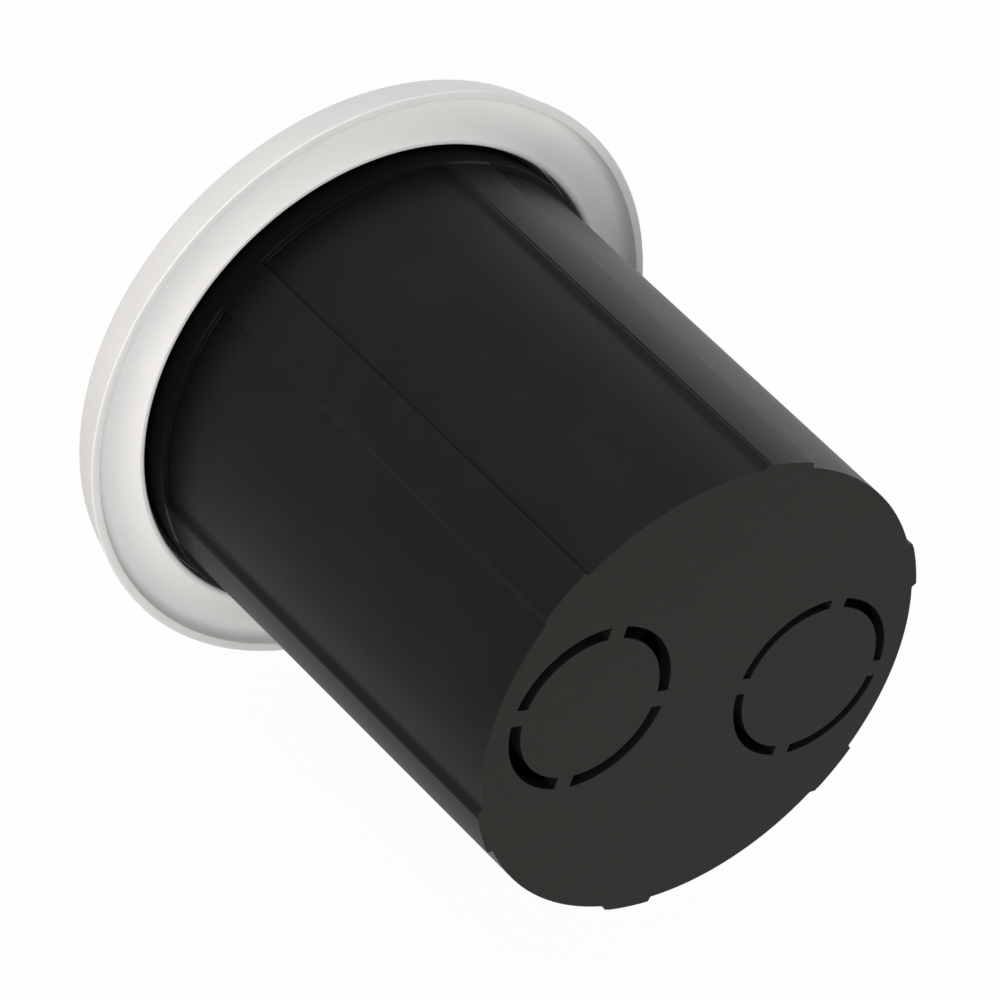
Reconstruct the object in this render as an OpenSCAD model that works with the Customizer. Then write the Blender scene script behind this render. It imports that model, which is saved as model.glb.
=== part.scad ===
// Recessed step light: a round bezel on a moulded mounting can. The light insert, which is
// the bezel with the lamp, the driver and the cable gland behind it, slides into the can
// and is held there by two sprung clips.
// The plane y = 0 is the face of the wall. The can runs into the wall along +Y, the light
// shines along -Y and Z is up. Lengths are in millimetres and angles in degrees.

/* [Mounting can] */
// Diameter over the raised bands at the closed end
can_end_d = 72; // [64:0.5:90]
// Depth of the can behind the wall face
can_depth = 80; // [74:1:120]
// Draft of the side wall
can_draft = 1.4; // [0.2:0.01:1.5]
// Thickness of the side wall
can_wall = 2.5; // [1.8:0.1:3.5]
// Thickness of the closed end
can_end_wall = 2.5; // [1.5:0.1:4]
// How far the mouth reaches into the bezel's groove
can_mouth_reach = 2.6; // [1.5:0.1:3]
// Wall left outside the straight bore at the mouth
can_mouth_wall = 2.35; // [1.6:0.05:2.45]
// Depth of that straight bore behind the wall face
can_mouth_bore_depth = 10; // [9:0.5:20]
// Number of raised bands
band_count = 6; // [3:1:10]
// Angle that one band takes
band_angle = 12.5; // [6:0.5:25]
// Depth of the panels between the bands
panel_depth = 0.75; // [0.3:0.05:1.2]
// Distance from the wall face to the panels' shoulder
panel_start = 3.1; // [1:0.1:12]

/* [Knock-outs] */
// Distance between the two centres
knockout_spacing = 38.8; // [34:0.1:44]
// Diameter of the hole that a knock-out leaves
knockout_d = 25.7; // [20:0.1:28]
// Width of the slots on the +X side
slot_w_plus = 1.85; // [0.8:0.05:2.5]
// Width of the slots on the -X side
slot_w_minus = 1.45; // [0.8:0.05:2.5]
// Width of the bridges between the slots
bridge_w = 2.5; // [1:0.1:5]

/* [Bezel] */
// Diameter of the bezel
bezel_d = 95; // [88:0.5:110]
// How far the face stands in front of the wall
face_h = 7.6; // [7.2:0.1:12]
// How far the face's outer edge stands in front of the wall
edge_h = 6.6; // [4.6:0.1:6.8]
// How much smaller the rim's radius is at the front
rim_taper = 1.4; // [0:0.1:2]
// Rounding of the front edge
front_round = 1.2; // [0.5:0.1:2]
// Rounding of the bead at the rear edge
bead_round = 0.4; // [0.1:0.05:0.8]
// Width of the land that rests on the wall, with the bead
land_w = 1.4; // [1:0.1:3]
// Step from the land down into the cove
land_step = 0.3; // [0.1:0.05:0.6]
// Depth of the cove's control polygon
cove_depth = 2.9; // [1:0.1:3]
// How far the inner lip stays below the wall face
lip_drop = 0.05; // [0.05:0.05:1.5]
// Rounding of the inner lip
lip_round = 0.3; // [0.2:0.05:1]
// Gap between the lip and the can
lip_gap = 0.8; // [0.1:0.05:0.8]
// Thickness of the hub round the lens
hub_t = 5.6; // [5.4:0.1:6.4]
// Thickness of the ledge in front of the lens
ledge_t = 1.6; // [1:0.1:2.2]
// Gap between the spigot and the can's straight bore
spigot_gap = 0.5; // [0.3:0.05:1]
// Wall of the spigot
spigot_wall = 2.9; // [2.4:0.1:3.2]
// Length of the spigot behind the wall face
spigot_len = 8.4; // [6:0.1:8.8]

/* [Hood] */
// Outer radius of the foot ring
hood_foot_r = 29; // [28:0.1:31]
// Thickness of the foot ring
hood_foot_t = 1.4; // [1:0.1:3]
// Radius of the dome where it leaves the foot ring
hood_base_r = 24.5; // [22:0.1:25]
// Height of the dome above the foot ring
hood_h = 13; // [8:0.5:18]
// Wall of the dome
hood_wall = 1.8; // [1:0.1:2.5]
// Rise of the dome's lower edge towards its tip
hood_rake = 5; // [0:1:20]

/* [Lens] */
// Thickness of the glass
lens_t = 4; // [3:0.1:4.2]
// Gap round the glass
lens_gap = 0.5; // [0.2:0.1:1]
// Width of the ledge that the glass rests on
lens_lip = 2.5; // [1.5:0.1:4]
// Chamfer of the glass
lens_chamfer = 0.4; // [0.1:0.1:0.8]
// Thickness of each lens gasket
lens_gasket_t = 0.6; // [0.4:0.05:0.7]

/* [Lamp housing] */
// Room kept between the housing and the can for the clips and fins
clip_room = 8.3; // [7.8:0.1:10]
// Wall of the housing
housing_wall = 2.5; // [1.6:0.1:3]
// Wall between the lens bore and the outside of the housing
lens_margin = 2.2; // [1.6:0.1:3]
// Thickness of the housing's flange
flange_t = 4; // [3:0.1:5]
// Gap between the flange and the bezel's spigot
flange_gap = 0.3; // [0.1:0.05:0.6]
// Depth of the web that carries the LED board
web_y = 16; // [13:0.5:19]
// Thickness of the web
web_t = 3; // [2.5:0.1:5]
// Depth of the open rear end
housing_len = 44; // [42:0.5:50]
// Number of fins on each side
fin_count = 9; // [3:1:13]
// Angle over which the fins of one side are spread
fin_spread = 112; // [60:2:116]
// Height of a fin
fin_h = 3; // [1:0.1:5]
// Thickness of a fin
fin_t = 1.4; // [0.8:0.1:2]
// Gap between the flange's screws and the fins
fin_gap = 4; // [3:0.5:8]

/* [LED board and reflector] */
// Thickness of the thermal pad
pad_t = 0.5; // [0.2:0.1:1]
// Thickness of the LED board
led_board_t = 1.6; // [1:0.1:2]
// Gap between the LED board and the housing's bore
led_board_gap = 1.5; // [0.5:0.1:2]
// Number of emitters
emitter_count = 6; // [3:1:8]
// Radius of the circle of emitters
emitter_ring_r = 6.4; // [6:0.1:7]
// Side of an emitter
emitter_w = 3; // [2:0.1:3.5]
// Height of an emitter
emitter_h = 0.7; // [0.4:0.1:1.2]
// Inner radius of the reflector at the board
reflector_in_r = 9.6; // [9.4:0.1:10.5]
// Wall of the reflector
reflector_wall = 1; // [0.6:0.1:1.4]
// Radius of the circle of board screws
led_screw_r = 15.2; // [15:0.1:16]

/* [Driver] */
// Height of the driver board's posts
post_h = 8; // [6:0.5:10]
// Radius of a post
post_r = 2.6; // [2.2:0.1:3]
// Radius of the circle of posts
post_ring_r = 17; // [16:0.1:18]
// Thickness of the driver board
driver_board_t = 1.6; // [1:0.1:2]
// Gap between the driver board and the housing
driver_board_gap = 2.2; // [1:0.1:2.4]
// Size of the transformer across, up and deep
transformer_size = [13, 12, 10];
// Size of the terminal block across, up and deep
terminal_size = [11, 10, 9];
// Gap between the transformer and the terminal block
part_gap = 3; // [1:0.5:4]
// Radius of a capacitor
capacitor_r = 3.9; // [2:0.1:4]
// Height of a capacitor
capacitor_h = 11; // [6:0.5:14]
// Radius of the choke
choke_r = 3.2; // [2:0.1:4]
// Height of the choke
choke_h = 7; // [4:0.5:9]
// Radius of a wire entry
wire_hole_r = 1.6; // [1:0.1:1.9]
// Depth of a wire entry
wire_hole_depth = 7; // [3:0.5:8]
// Radius of a lead over its insulation
lead_r = 0.65; // [0.4:0.05:0.9]
// Radius of the hole that the leads pass through
lead_hole_r = 2.6; // [2.4:0.1:3]
// Distance of that hole below the axis
lead_drop = 9.2; // [9:0.1:10]

/* [Rear cover] */
// Thickness of the cover
cover_t = 2.5; // [1.5:0.1:4]
// Thickness of its gasket
cover_gasket_t = 0.6; // [0.4:0.1:1.2]
// How far the bosses that take its screws sink into the housing's wall
cover_boss_sink = 0.7; // [0.4:0.1:1.2]
// Length of those bosses
cover_boss_len = 10; // [7:0.5:11]

/* [Cable gland] */
// Radius of the gland's thread
gland_r = 6; // [5.5:0.1:6.5]
// Across the corners of its hexagons, halved
gland_hex_r = 8.66; // [8:0.02:9]
// Thickness of the body's hexagon
gland_hex_t = 5; // [3:0.1:6]
// Thickness of the locknut
locknut_t = 3; // [2:0.1:3.2]
// Length of the barrel behind the hexagon
gland_barrel_len = 5; // [4:0.1:7]
// Bore of the body
gland_bore_r = 4.6; // [4.2:0.1:5]
// Bore of the seal, which grips the cable
seal_bore_r = 3.3; // [2.5:0.1:3.6]
// Length of the seal
seal_len = 8; // [5:0.1:9]
// Length of the nut
gland_nut_len = 10; // [9.5:0.1:12]
// Wall of the nut's closed end
gland_nut_end = 1.6; // [1:0.1:1.8]

/* [Clips] */
// Width of a clip
clip_w = 8; // [7:0.1:10]
// Thickness of the clip's strip
clip_t = 0.8; // [0.5:0.05:1]
// Radius of a clip's toe
toe_r = 0.9; // [0.6:0.05:1.2]
// Depth of the toe behind the wall face
toe_y = 42; // [36:0.5:42]
// Gap between the toe and the can
toe_gap = 0.28; // [0.1:0.02:0.5]
// Length of the bent-in end behind the toe
hook_len = 2.2; // [1:0.1:2.4]
// Depth of the hinge pin behind the wall face
pivot_y = 14; // [12:0.5:18]
// Distance of the pin from the housing's wall
pivot_out = 3.2; // [3:0.05:3.4]
// Radius of the hinge pin
pin_r = 1; // [0.8:0.05:1.1]
// Clearance of the pin in the ears and in the clip
pin_fit = 0.06; // [0.03:0.01:0.1]
// Radius of the clip's knuckle
knuckle_r = 2.4; // [2.2:0.1:2.6]
// Width of one knuckle tab
tab_w = 1.4; // [1:0.1:1.6]
// Thickness of an ear
ear_t = 2; // [1.5:0.1:2.2]
// Radius of an ear's round end
ear_r = 2.6; // [2.4:0.1:2.8]
// Gap between an ear and the clip
ear_gap = 0.2; // [0.1:0.05:0.4]
// Radius of the spring's wire
spring_wire_r = 0.35; // [0.25:0.05:0.4]
// Radius of the coil at the wire's middle
spring_coil_r = 1.75; // [1.6:0.05:1.8]
// Width of the coil at the wire's middle
spring_w = 3.4; // [3:0.1:3.6]
// Turns of the coil
spring_turns = 2.5; // [1.5:1:2.5]
// Length of the spring's leg along the clip
spring_leg = 12; // [6:0.5:16]
// Length of its leg towards the housing
spring_foot = 2.6; // [1:0.1:2.6]

/* [Seals] */
// Section of the spigot's seal ring
spigot_ring_sec = 1.8; // [1.4:0.05:1.9]
// Gap between that ring and the can
spigot_ring_gap = 0.25; // [0.1:0.05:0.4]
// Distance of that ring behind the wall face
spigot_ring_y = 4; // [3:0.1:5]
// Section of the housing's seal ring
housing_ring_sec = 1.4; // [1:0.05:1.6]
// Room beside a seal ring in its groove
ring_room = 0.15; // [0.1:0.05:0.3]
// Thickness of the gasket in the bezel's groove
mouth_gasket_t = 0.8; // [0.5:0.05:0.9]
// Gap between that gasket and the can's mouth
mouth_gap = 0.2; // [0.1:0.05:0.3]
// Gap beside that gasket
mouth_gasket_side = 0.2; // [0.1:0.05:0.5]

/* [Screws] */
// Radius of the large screws
screw_r = 1.5; // [1.2:0.05:1.6]
// Radius of the large screws' heads
screw_head_r = 2.7; // [2.4:0.05:2.75]
// Height of the large screws' heads
screw_head_h = 2; // [1.2:0.1:2.4]
// Radius of the small screws
small_screw_r = 1.1; // [0.8:0.05:1.2]
// Radius of the small screws' heads
small_head_r = 2; // [1.6:0.05:2.1]
// Height of the small screws' heads
small_head_h = 1.4; // [0.8:0.1:1.5]
// Clearance of a screw in its hole
screw_fit = 0.05; // [0.02:0.01:0.1]
// How deep the large screws go into the bezel
screw_grip = 3.2; // [2:0.1:3.4]
// Length of the small screws
small_screw_len = 4; // [3:0.1:5]
// Length of the cover's screws
cover_screw_len = 7; // [5:0.1:8]

/* [Hidden] */

$fn = 96;
// Overrun of every cut
over = 1;
// Points on an arc of a profile
arc_steps = 6;
// Points on the cove's curve
cove_steps = 14;
// Points on the hood's dome
dome_steps = 12;
// Sides of the spring's wire, and its rings in one turn
wire_sides = 8;
turn_rings = 24;

// Can: radius outside the bands, and of the bore, at a depth y
can_end_r = can_end_d / 2;
can_slope = tan(can_draft);
function can_r(y) = can_end_r + (can_depth - y) * can_slope;
function bore_r(y) = can_r(y) - can_wall;
function panel_r(y) = can_r(y) - panel_depth;
mouth_y = -can_mouth_reach;
mouth_bore_r = can_r(mouth_y) - can_mouth_wall;
end_inner_y = can_depth - can_end_wall;
panel_angle = 360 / band_count - band_angle;
knockout_x = knockout_spacing / 2;
knockout_r = knockout_d / 2;

// Bezel
bezel_r = bezel_d / 2;
rim_front_r = bezel_r - rim_taper;
lip_r = can_r(0) + lip_gap;
cove_out_r = bezel_r - land_w;
cove_in_r = lip_r + lip_round;
cove_w = cove_out_r - cove_in_r;
// The cove's inner control points, as shares of its width and of its depth
cove_outer_share = [0.05, 1];
cove_inner_share = [0.6, 0.35];
spigot_r = mouth_bore_r - spigot_gap;
spigot_in_r = spigot_r - spigot_wall;
spigot_ring_r = mouth_bore_r - spigot_ring_gap - spigot_ring_sec / 2;
spigot_groove_r = spigot_ring_r - spigot_ring_sec / 2;
spigot_groove_w = spigot_ring_sec + 2 * ring_room;
spigot_chamfer = spigot_gap;
groove_y = -(can_mouth_reach + mouth_gap + mouth_gasket_t);
back_y = hub_t - face_h;
face_pad_r = hood_foot_r + rim_taper;

// Lens, from the ledge backwards
housing_r = bore_r(can_depth) - clip_room;
cavity_r = housing_r - housing_wall;
lens_bore_r = housing_r - lens_margin;
lens_r = lens_bore_r - lens_gap;
opening_r = lens_r - lens_lip;
ledge_y = ledge_t - face_h;
lens_front_y = ledge_y + lens_gasket_t;
lens_back_y = lens_front_y + lens_t;
seat_y = lens_back_y + lens_gasket_t;
gasket_in_r = opening_r + ring_room;

// Lamp housing
flange_r = spigot_in_r - flange_gap;
flange_y = back_y + flange_t;
flange_screw_r = (housing_r + flange_r) / 2;
flange_screws = [90, 210, 330];
housing_ring_r = (lens_bore_r + flange_screw_r - screw_r) / 2;
housing_groove_w = housing_ring_sec + 2 * ring_room;
web_back_y = web_y + web_t;
fin_y = flange_y + fin_gap;

// LED board, from the web forwards
pad_y = web_y - pad_t;
led_y = pad_y - led_board_t;
led_board_r = opening_r - led_board_gap;
led_screws = [30, 150, 270];
reflector_top_y = lens_back_y + lens_gasket_t / 2;
reflector_top_r = opening_r - reflector_wall / 2;

// Driver board, from the web backwards
driver_y = web_back_y + post_h;
driver_back_y = driver_y + driver_board_t;
driver_board_r = cavity_r - driver_board_gap;
driver_screws = [30, 150, 270];
transformer_x = -(part_gap + transformer_size[0]) / 2;
terminal_x = (part_gap + terminal_size[0]) / 2;
capacitor_x = capacitor_r + part_gap / 4;
capacitor_z = transformer_size[1] / 2 + capacitor_r + part_gap;
choke_z = -(transformer_size[1] / 2 + choke_r + part_gap);
choke_x = -2 * choke_r;
terminal_pitch = terminal_size[0] / 2;

// Rear cover
cover_gasket_y = housing_len + cover_gasket_t;
cover_y = cover_gasket_y + cover_t;
cover_screws = [45, 135, 225, 315];
cover_screw_r = cavity_r - post_r + cover_boss_sink;
cover_gasket_in_r = cover_screw_r - post_r - ring_room;

// Cable gland, from the cover backwards
gland_front_y = cover_gasket_y - locknut_t;
gland_hex_y = cover_y + gland_hex_t;
gland_end_y = gland_hex_y + gland_barrel_len;
nut_y = gland_hex_y + ring_room;
nut_end_y = nut_y + gland_nut_len;
seal_end_y = nut_end_y - gland_nut_end;
seal_y = seal_end_y - seal_len;
nut_hole_r = (seal_bore_r + gland_bore_r) / 2;

// Clips, in a frame at the hinge pin
pivot_x = housing_r + pivot_out;
toe_x = sqrt(pow(bore_r(toe_y) - toe_gap, 2) - pow(clip_w / 2, 2)) - toe_r;
arm_in_x = spring_coil_r + spring_wire_r + ring_room / 2;
arm_x = arm_in_x + clip_t / 2;
arm_dx = toe_x - pivot_x - arm_x;
arm_dy = toe_y - pivot_y;
arm_lean = atan2(arm_dx, arm_dy);
hook_lean = -30;
tab_z = clip_w / 2 - tab_w;
window_y = spring_coil_r + 2 * spring_wire_r + ring_room;
ear_in_z = clip_w / 2 + ear_gap;
ear_out_z = ear_in_z + ear_t;
pin_head_r = pin_r + spring_wire_r;
pin_head_t = clip_t;

// Points on an arc about a centre, from one angle to another
function arc(centre, r, from, to, steps) = [for (i = [0:steps])
    let (a = from + (to - from) * i / steps) centre + r * [cos(a), sin(a)]];

// Point on a cubic curve with four control points
function curve_point(p, t) = pow(1 - t, 3) * p[0] + 3 * pow(1 - t, 2) * t * p[1]
    + 3 * (1 - t) * pow(t, 2) * p[2] + pow(t, 3) * p[3];

// Turns a profile of [radius, depth] points about the can's axis
module turned(profile) {
    rotate([-90, 0, 0])
        rotate_extrude()
            polygon(profile);
}

// Rod along the can's axis
module rod(r, y0, y1) {
    translate([0, y0, 0])
        rotate([-90, 0, 0])
            cylinder(r = r, h = y1 - y0);
}

// Hexagonal rod along the can's axis
module hex_rod(r, y0, y1) {
    translate([0, y0, 0])
        rotate([-90, 0, 0])
            cylinder(r = r, h = y1 - y0, $fn = 6);
}

// Ring with a round section about the can's axis
module seal_ring(ring_r, section, y) {
    translate([0, y, 0])
        rotate([-90, 0, 0])
            rotate_extrude()
                translate([ring_r, 0])
                    circle(d = section, $fn = 48);
}

// Turns its children from +X towards +Z
module around(a) {
    rotate([0, -a, 0])
        children();
}

// Copies its children to the places on a circle
module on_circle(r, angles) {
    for (a = angles)
        around(a)
            translate([r, 0, 0])
                children();
}

// Pan-head screw whose head stands behind the plane y = 0, with a hexagonal socket
module pan_screw(r, len, head_r, head_h) {
    socket_r = r * 0.75;
    difference() {
        union() {
            rod(r, -len, head_h / 2);
            turned([[0, 0], [head_r, 0], [head_r, head_h / 2],
                [head_r - head_h / 4, head_h], [0, head_h]]);
        }
        hex_rod(socket_r, head_h / 2, head_h + over);
    }
}

// Countersunk screw whose flat head lies in the plane y = 0 and which runs along +Y
module flat_screw(r, len, head_r) {
    socket_r = r * 0.75;
    difference() {
        turned([[0, 0], [head_r, 0], [r, head_r - r], [r, len], [0, len]]);
        hex_rod(socket_r, -over, head_r - r);
    }
}

// Sweeps a round wire along a path that never runs along Z
module wire(path, r) {
    count = len(path);
    tangents = [for (i = [0:count - 1])
        let (d = path[min(i + 1, count - 1)] - path[max(i - 1, 0)]) d / norm(d)];
    rings = [for (i = [0:count - 1])
        let (n = cross(tangents[i], [0, 0, 1]), u = n / norm(n), v = cross(tangents[i], u))
        for (k = [0:wire_sides - 1])
            let (a = 360 * k / wire_sides) path[i] + r * (cos(a) * u + sin(a) * v)];
    walls = [for (i = [0:count - 2])
        for (k = [0:wire_sides - 1])
            let (j = (k + 1) % wire_sides, a = i * wire_sides, b = a + wire_sides)
            for (f = [[a + k, a + j, b + j], [a + k, b + j, b + k]]) f];
    front = [for (k = [1:wire_sides - 2]) [0, k + 1, k]];
    last = (count - 1) * wire_sides;
    back = [for (k = [1:wire_sides - 2]) [last, last + k, last + k + 1]];
    polyhedron(rings, concat(walls, front, back));
}

// Recess between two bands, open at the closed end of the can
module panel_cut() {
    rotate([-90, 0, 0])
        rotate([0, 0, -panel_angle / 2])
            rotate_extrude(angle = panel_angle)
                polygon([[panel_r(panel_start), panel_start],
                    [can_r(panel_start) + over, panel_start],
                    [can_r(can_depth) + over, can_depth + over],
                    [panel_r(can_depth + over), can_depth + over]]);
}

// Ring of four slots that makes one knock-out
module knockout_slots(slot_w) {
    bar = 2 * knockout_r + over;
    depth = can_end_wall + 2 * over;
    difference() {
        rod(knockout_r, end_inner_y - over, can_depth + over);
        rod(knockout_r - slot_w, end_inner_y - 2 * over, can_depth + 2 * over);
        for (size = [[bar, depth * 2, bridge_w], [bridge_w, depth * 2, bar]])
            translate([0, can_depth, 0])
                cube(size, center = true);
    }
}

// Black moulded can that is set in the wall
module mounting_can() {
    color("#2b2a29")
        difference() {
            turned([[0, can_depth], [can_end_r, can_depth], [can_r(mouth_y), mouth_y],
                [mouth_bore_r, mouth_y], [mouth_bore_r, can_mouth_bore_depth],
                [bore_r(can_mouth_bore_depth), can_mouth_bore_depth],
                [bore_r(end_inner_y), end_inner_y], [0, end_inner_y]]);
            for (i = [0:band_count - 1])
                around(i * 360 / band_count)
                    panel_cut();
            translate([knockout_x, 0, 0])
                knockout_slots(slot_w_plus);
            translate([-knockout_x, 0, 0])
                knockout_slots(slot_w_minus);
        }
}

// White cast bezel with the hollow back, the groove for the can and the spigot
module bezel() {
    cove = [[cove_out_r, -land_step],
        [cove_out_r - cove_outer_share[0] * cove_w,
            -land_step - cove_outer_share[1] * cove_depth],
        [cove_out_r - cove_inner_share[0] * cove_w,
            -land_step - cove_inner_share[1] * cove_depth],
        [cove_in_r, -lip_drop]];
    groove_front_y = spigot_ring_y - spigot_groove_w / 2;
    groove_back_y = spigot_ring_y + spigot_groove_w / 2;
    profile = concat(
        arc([rim_front_r - front_round, front_round - edge_h], front_round, -90, 0, arc_steps),
        arc([bezel_r - bead_round, -bead_round], bead_round, 0, 90, arc_steps),
        [[cove_out_r, 0]],
        [for (i = [0:cove_steps]) curve_point(cove, i / cove_steps)],
        arc([cove_in_r, -lip_drop - lip_round], lip_round, 105, 180, arc_steps),
        [[lip_r, groove_y], [spigot_r, groove_y],
            [spigot_r, groove_front_y], [spigot_groove_r, groove_front_y],
            [spigot_groove_r, groove_back_y], [spigot_r, groove_back_y],
            [spigot_r, spigot_len - spigot_chamfer],
            [spigot_r - spigot_chamfer, spigot_len], [spigot_in_r, spigot_len],
            [spigot_in_r, back_y], [lens_bore_r, back_y], [lens_bore_r, ledge_y],
            [opening_r, ledge_y], [opening_r, -face_h], [face_pad_r, -face_h]]);
    color("#e9e9e8")
        difference() {
            turned(profile);
            on_circle(flange_screw_r, flange_screws)
                rod(screw_r + screw_fit, back_y - screw_grip - screw_fit, back_y + over);
            hood_screw_places()
                rod(small_screw_r + screw_fit, -face_h - over,
                    -face_h - hood_foot_t + small_screw_len + screw_fit);
        }
}

// Places of the two screws that hold the hood, below its dome
module hood_screw_places() {
    on_circle((lens_bore_r + hood_foot_r) / 2, [-18, 198])
        children();
}

// White cast hood that turns the light down on the step
module eyelid_hood() {
    foot_y = -face_h - hood_foot_t;
    dome_r = (pow(hood_base_r, 2) + pow(hood_h, 2)) / (2 * hood_h);
    dome_y = foot_y - hood_h + dome_r;
    inner_r = dome_r - hood_wall;
    outer_end = asin(hood_base_r / dome_r);
    inner_end = acos((dome_y - foot_y) / inner_r);
    foot_edge = hood_foot_t / 2;
    // The shell's edge sinks into the foot ring by the height of the ring's chamfer
    shell = concat(
        arc([0, dome_y], dome_r, -90, outer_end - 90, dome_steps),
        [[hood_base_r, foot_y + foot_edge], [inner_r * sin(inner_end), foot_y + foot_edge]],
        arc([0, dome_y], inner_r, inner_end - 90, -90, dome_steps));
    color("#e9e9e8") {
        difference() {
            union() {
                turned([[opening_r, -face_h], [opening_r, foot_y],
                    [hood_foot_r - foot_edge, foot_y], [hood_foot_r, foot_y + foot_edge],
                    [hood_foot_r, -face_h]]);
                intersection() {
                    turned(shell);
                    translate([0, foot_y, 0])
                        rotate([-hood_rake, 0, 0])
                            translate([-hood_foot_r, -2 * hood_foot_r, 0])
                                cube([2 * hood_foot_r, 4 * hood_foot_r, 2 * hood_foot_r]);
                }
            }
            hood_screw_places()
                translate([0, foot_y, 0])
                    turned([[0, -over], [small_head_r + screw_fit, -over],
                        [small_head_r + screw_fit, 0],
                        [small_screw_r + screw_fit, small_head_r - small_screw_r],
                        [small_screw_r + screw_fit, hood_foot_t + over],
                        [0, hood_foot_t + over]]);
        }
    }
}

// Two countersunk screws that hold the hood
module hood_screws() {
    color("#b9bbbd")
        hood_screw_places()
            translate([0, -face_h - hood_foot_t, 0])
                flat_screw(small_screw_r, small_screw_len, small_head_r);
}

// Frosted glass disc with chamfered edges
module lens() {
    color("#dfe6e6")
        turned([[0, lens_front_y], [lens_r - lens_chamfer, lens_front_y],
            [lens_r, lens_front_y + lens_chamfer], [lens_r, lens_back_y - lens_chamfer],
            [lens_r - lens_chamfer, lens_back_y], [0, lens_back_y]]);
}

// Flat ring between two radii
module flat_ring(in_r, out_r, y0, y1) {
    turned([[in_r, y0], [out_r, y0], [out_r, y1], [in_r, y1]]);
}

// Silicone ring between the bezel's ledge and the glass
module lens_gasket_front() {
    color("#1f1f1f")
        flat_ring(gasket_in_r, lens_r, ledge_y, lens_front_y);
}

// Silicone ring between the glass and the housing
module lens_gasket_rear() {
    color("#1f1f1f")
        flat_ring(gasket_in_r, lens_r, lens_back_y, seat_y);
}

// Bright cup from the LED board to the lens
module reflector() {
    color("#d8dadb")
        turned([[reflector_in_r, led_y], [reflector_in_r + reflector_wall, led_y],
            [reflector_top_r, reflector_top_y],
            [reflector_top_r - reflector_wall, reflector_top_y]]);
}

// Hole that the two LED leads pass through
module lead_hole() {
    translate([0, 0, -lead_drop])
        rod(lead_hole_r, pad_y - over, web_back_y + over);
}

// White metal-core board of the emitters
module led_board() {
    color("#f2f2ee")
        difference() {
            rod(led_board_r, led_y, pad_y);
            on_circle(led_screw_r, led_screws)
                rod(small_screw_r + screw_fit, led_y - over, pad_y + over);
        }
}

// Six square emitters in a circle
module led_emitters() {
    color("#f0d65a")
        on_circle(emitter_ring_r, [for (i = [0:emitter_count - 1]) i * 360 / emitter_count])
            translate([-emitter_w / 2, led_y - emitter_h, -emitter_w / 2])
                cube([emitter_w, emitter_h, emitter_w]);
}

// Three screws that hold the LED board, with their heads in front
module led_board_screws() {
    color("#b9bbbd")
        on_circle(led_screw_r, led_screws)
            translate([0, led_y, 0])
                rotate([180, 0, 0])
                    pan_screw(small_screw_r, small_screw_len, small_head_r, small_head_h);
}

// Grey pad that carries the board's heat into the web
module thermal_pad() {
    color("#8c9196")
        difference() {
            rod(led_board_r, pad_y, web_y);
            on_circle(led_screw_r, led_screws)
                rod(small_screw_r + screw_fit, pad_y - over, web_y + over);
            lead_hole();
        }
}

// Red and black leads from the LED board to the driver board
module led_leads() {
    lead_x = lead_r + ring_room;
    color("#a3221c")
        translate([lead_x, 0, -lead_drop])
            rod(lead_r, pad_y, driver_y);
    color("#1c1c1c")
        translate([-lead_x, 0, -lead_drop])
            rod(lead_r, pad_y, driver_y);
}

// Pair of ears that carries the hinge pin of the clip on +X
module clip_ears() {
    for (z = [-ear_out_z, ear_in_z])
        translate([0, 0, z]) {
            translate([cavity_r + housing_wall / 2, pivot_y - ear_r, 0])
                cube([pivot_x - cavity_r - housing_wall / 2, 2 * ear_r, ear_t]);
            translate([pivot_x, pivot_y, 0])
                cylinder(r = ear_r, h = ear_t);
        }
}

// Anodised housing: flange, lamp chamber, web, driver chamber, fins and ears
module lamp_housing() {
    groove_in_r = housing_ring_r - housing_groove_w / 2;
    color("#3a3b3d")
        difference() {
            union() {
                turned([[opening_r, seat_y], [lens_bore_r, seat_y], [lens_bore_r, back_y],
                    [flange_r, back_y], [flange_r, flange_y], [housing_r, flange_y],
                    [housing_r, housing_len], [cavity_r, housing_len],
                    [cavity_r, web_back_y], [0, web_back_y], [0, web_y],
                    [opening_r, web_y]]);
                for (side = [90, 270], i = [0:fin_count - 1])
                    around(side + fin_spread * (i / (fin_count - 1) - 1 / 2))
                        translate([housing_r - housing_wall / 2, fin_y, -fin_t / 2])
                            cube([housing_wall / 2 + fin_h, housing_len - fin_y - fin_t,
                                fin_t]);
                on_circle(post_ring_r, driver_screws)
                    rod(post_r, web_back_y - web_t / 2, driver_y);
                on_circle(cover_screw_r, cover_screws)
                    rod(post_r, housing_len - cover_boss_len, housing_len + over);
                clip_ears();
                mirror([1, 0, 0])
                    clip_ears();
            }
            // One plane ends the wall and the bosses
            rod(housing_r + over, housing_len, housing_len + 2 * over);
            flat_ring(groove_in_r, groove_in_r + housing_groove_w, back_y - over,
                back_y + housing_ring_sec);
            on_circle(flange_screw_r, flange_screws)
                rod(screw_r + screw_fit, back_y - over, flange_y + over);
            on_circle(led_screw_r, led_screws)
                rod(small_screw_r + screw_fit, web_y - over, led_y + small_screw_len + screw_fit);
            on_circle(post_ring_r, driver_screws)
                rod(small_screw_r + screw_fit, driver_back_y - small_screw_len - screw_fit,
                    driver_y + over);
            on_circle(cover_screw_r, cover_screws)
                rod(small_screw_r + screw_fit, cover_y - cover_screw_len - screw_fit,
                    housing_len + over);
            lead_hole();
            for (side = [-1, 1])
                translate([side * pivot_x, pivot_y, -ear_out_z - over])
                    cylinder(r = pin_r + pin_fit, h = 2 * (ear_out_z + over));
        }
}

// Three screws that hold the housing to the bezel
module housing_screws() {
    color("#b9bbbd")
        on_circle(flange_screw_r, flange_screws)
            translate([0, flange_y, 0])
                pan_screw(screw_r, flange_t + screw_grip, screw_head_r, screw_head_h);
}

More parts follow.
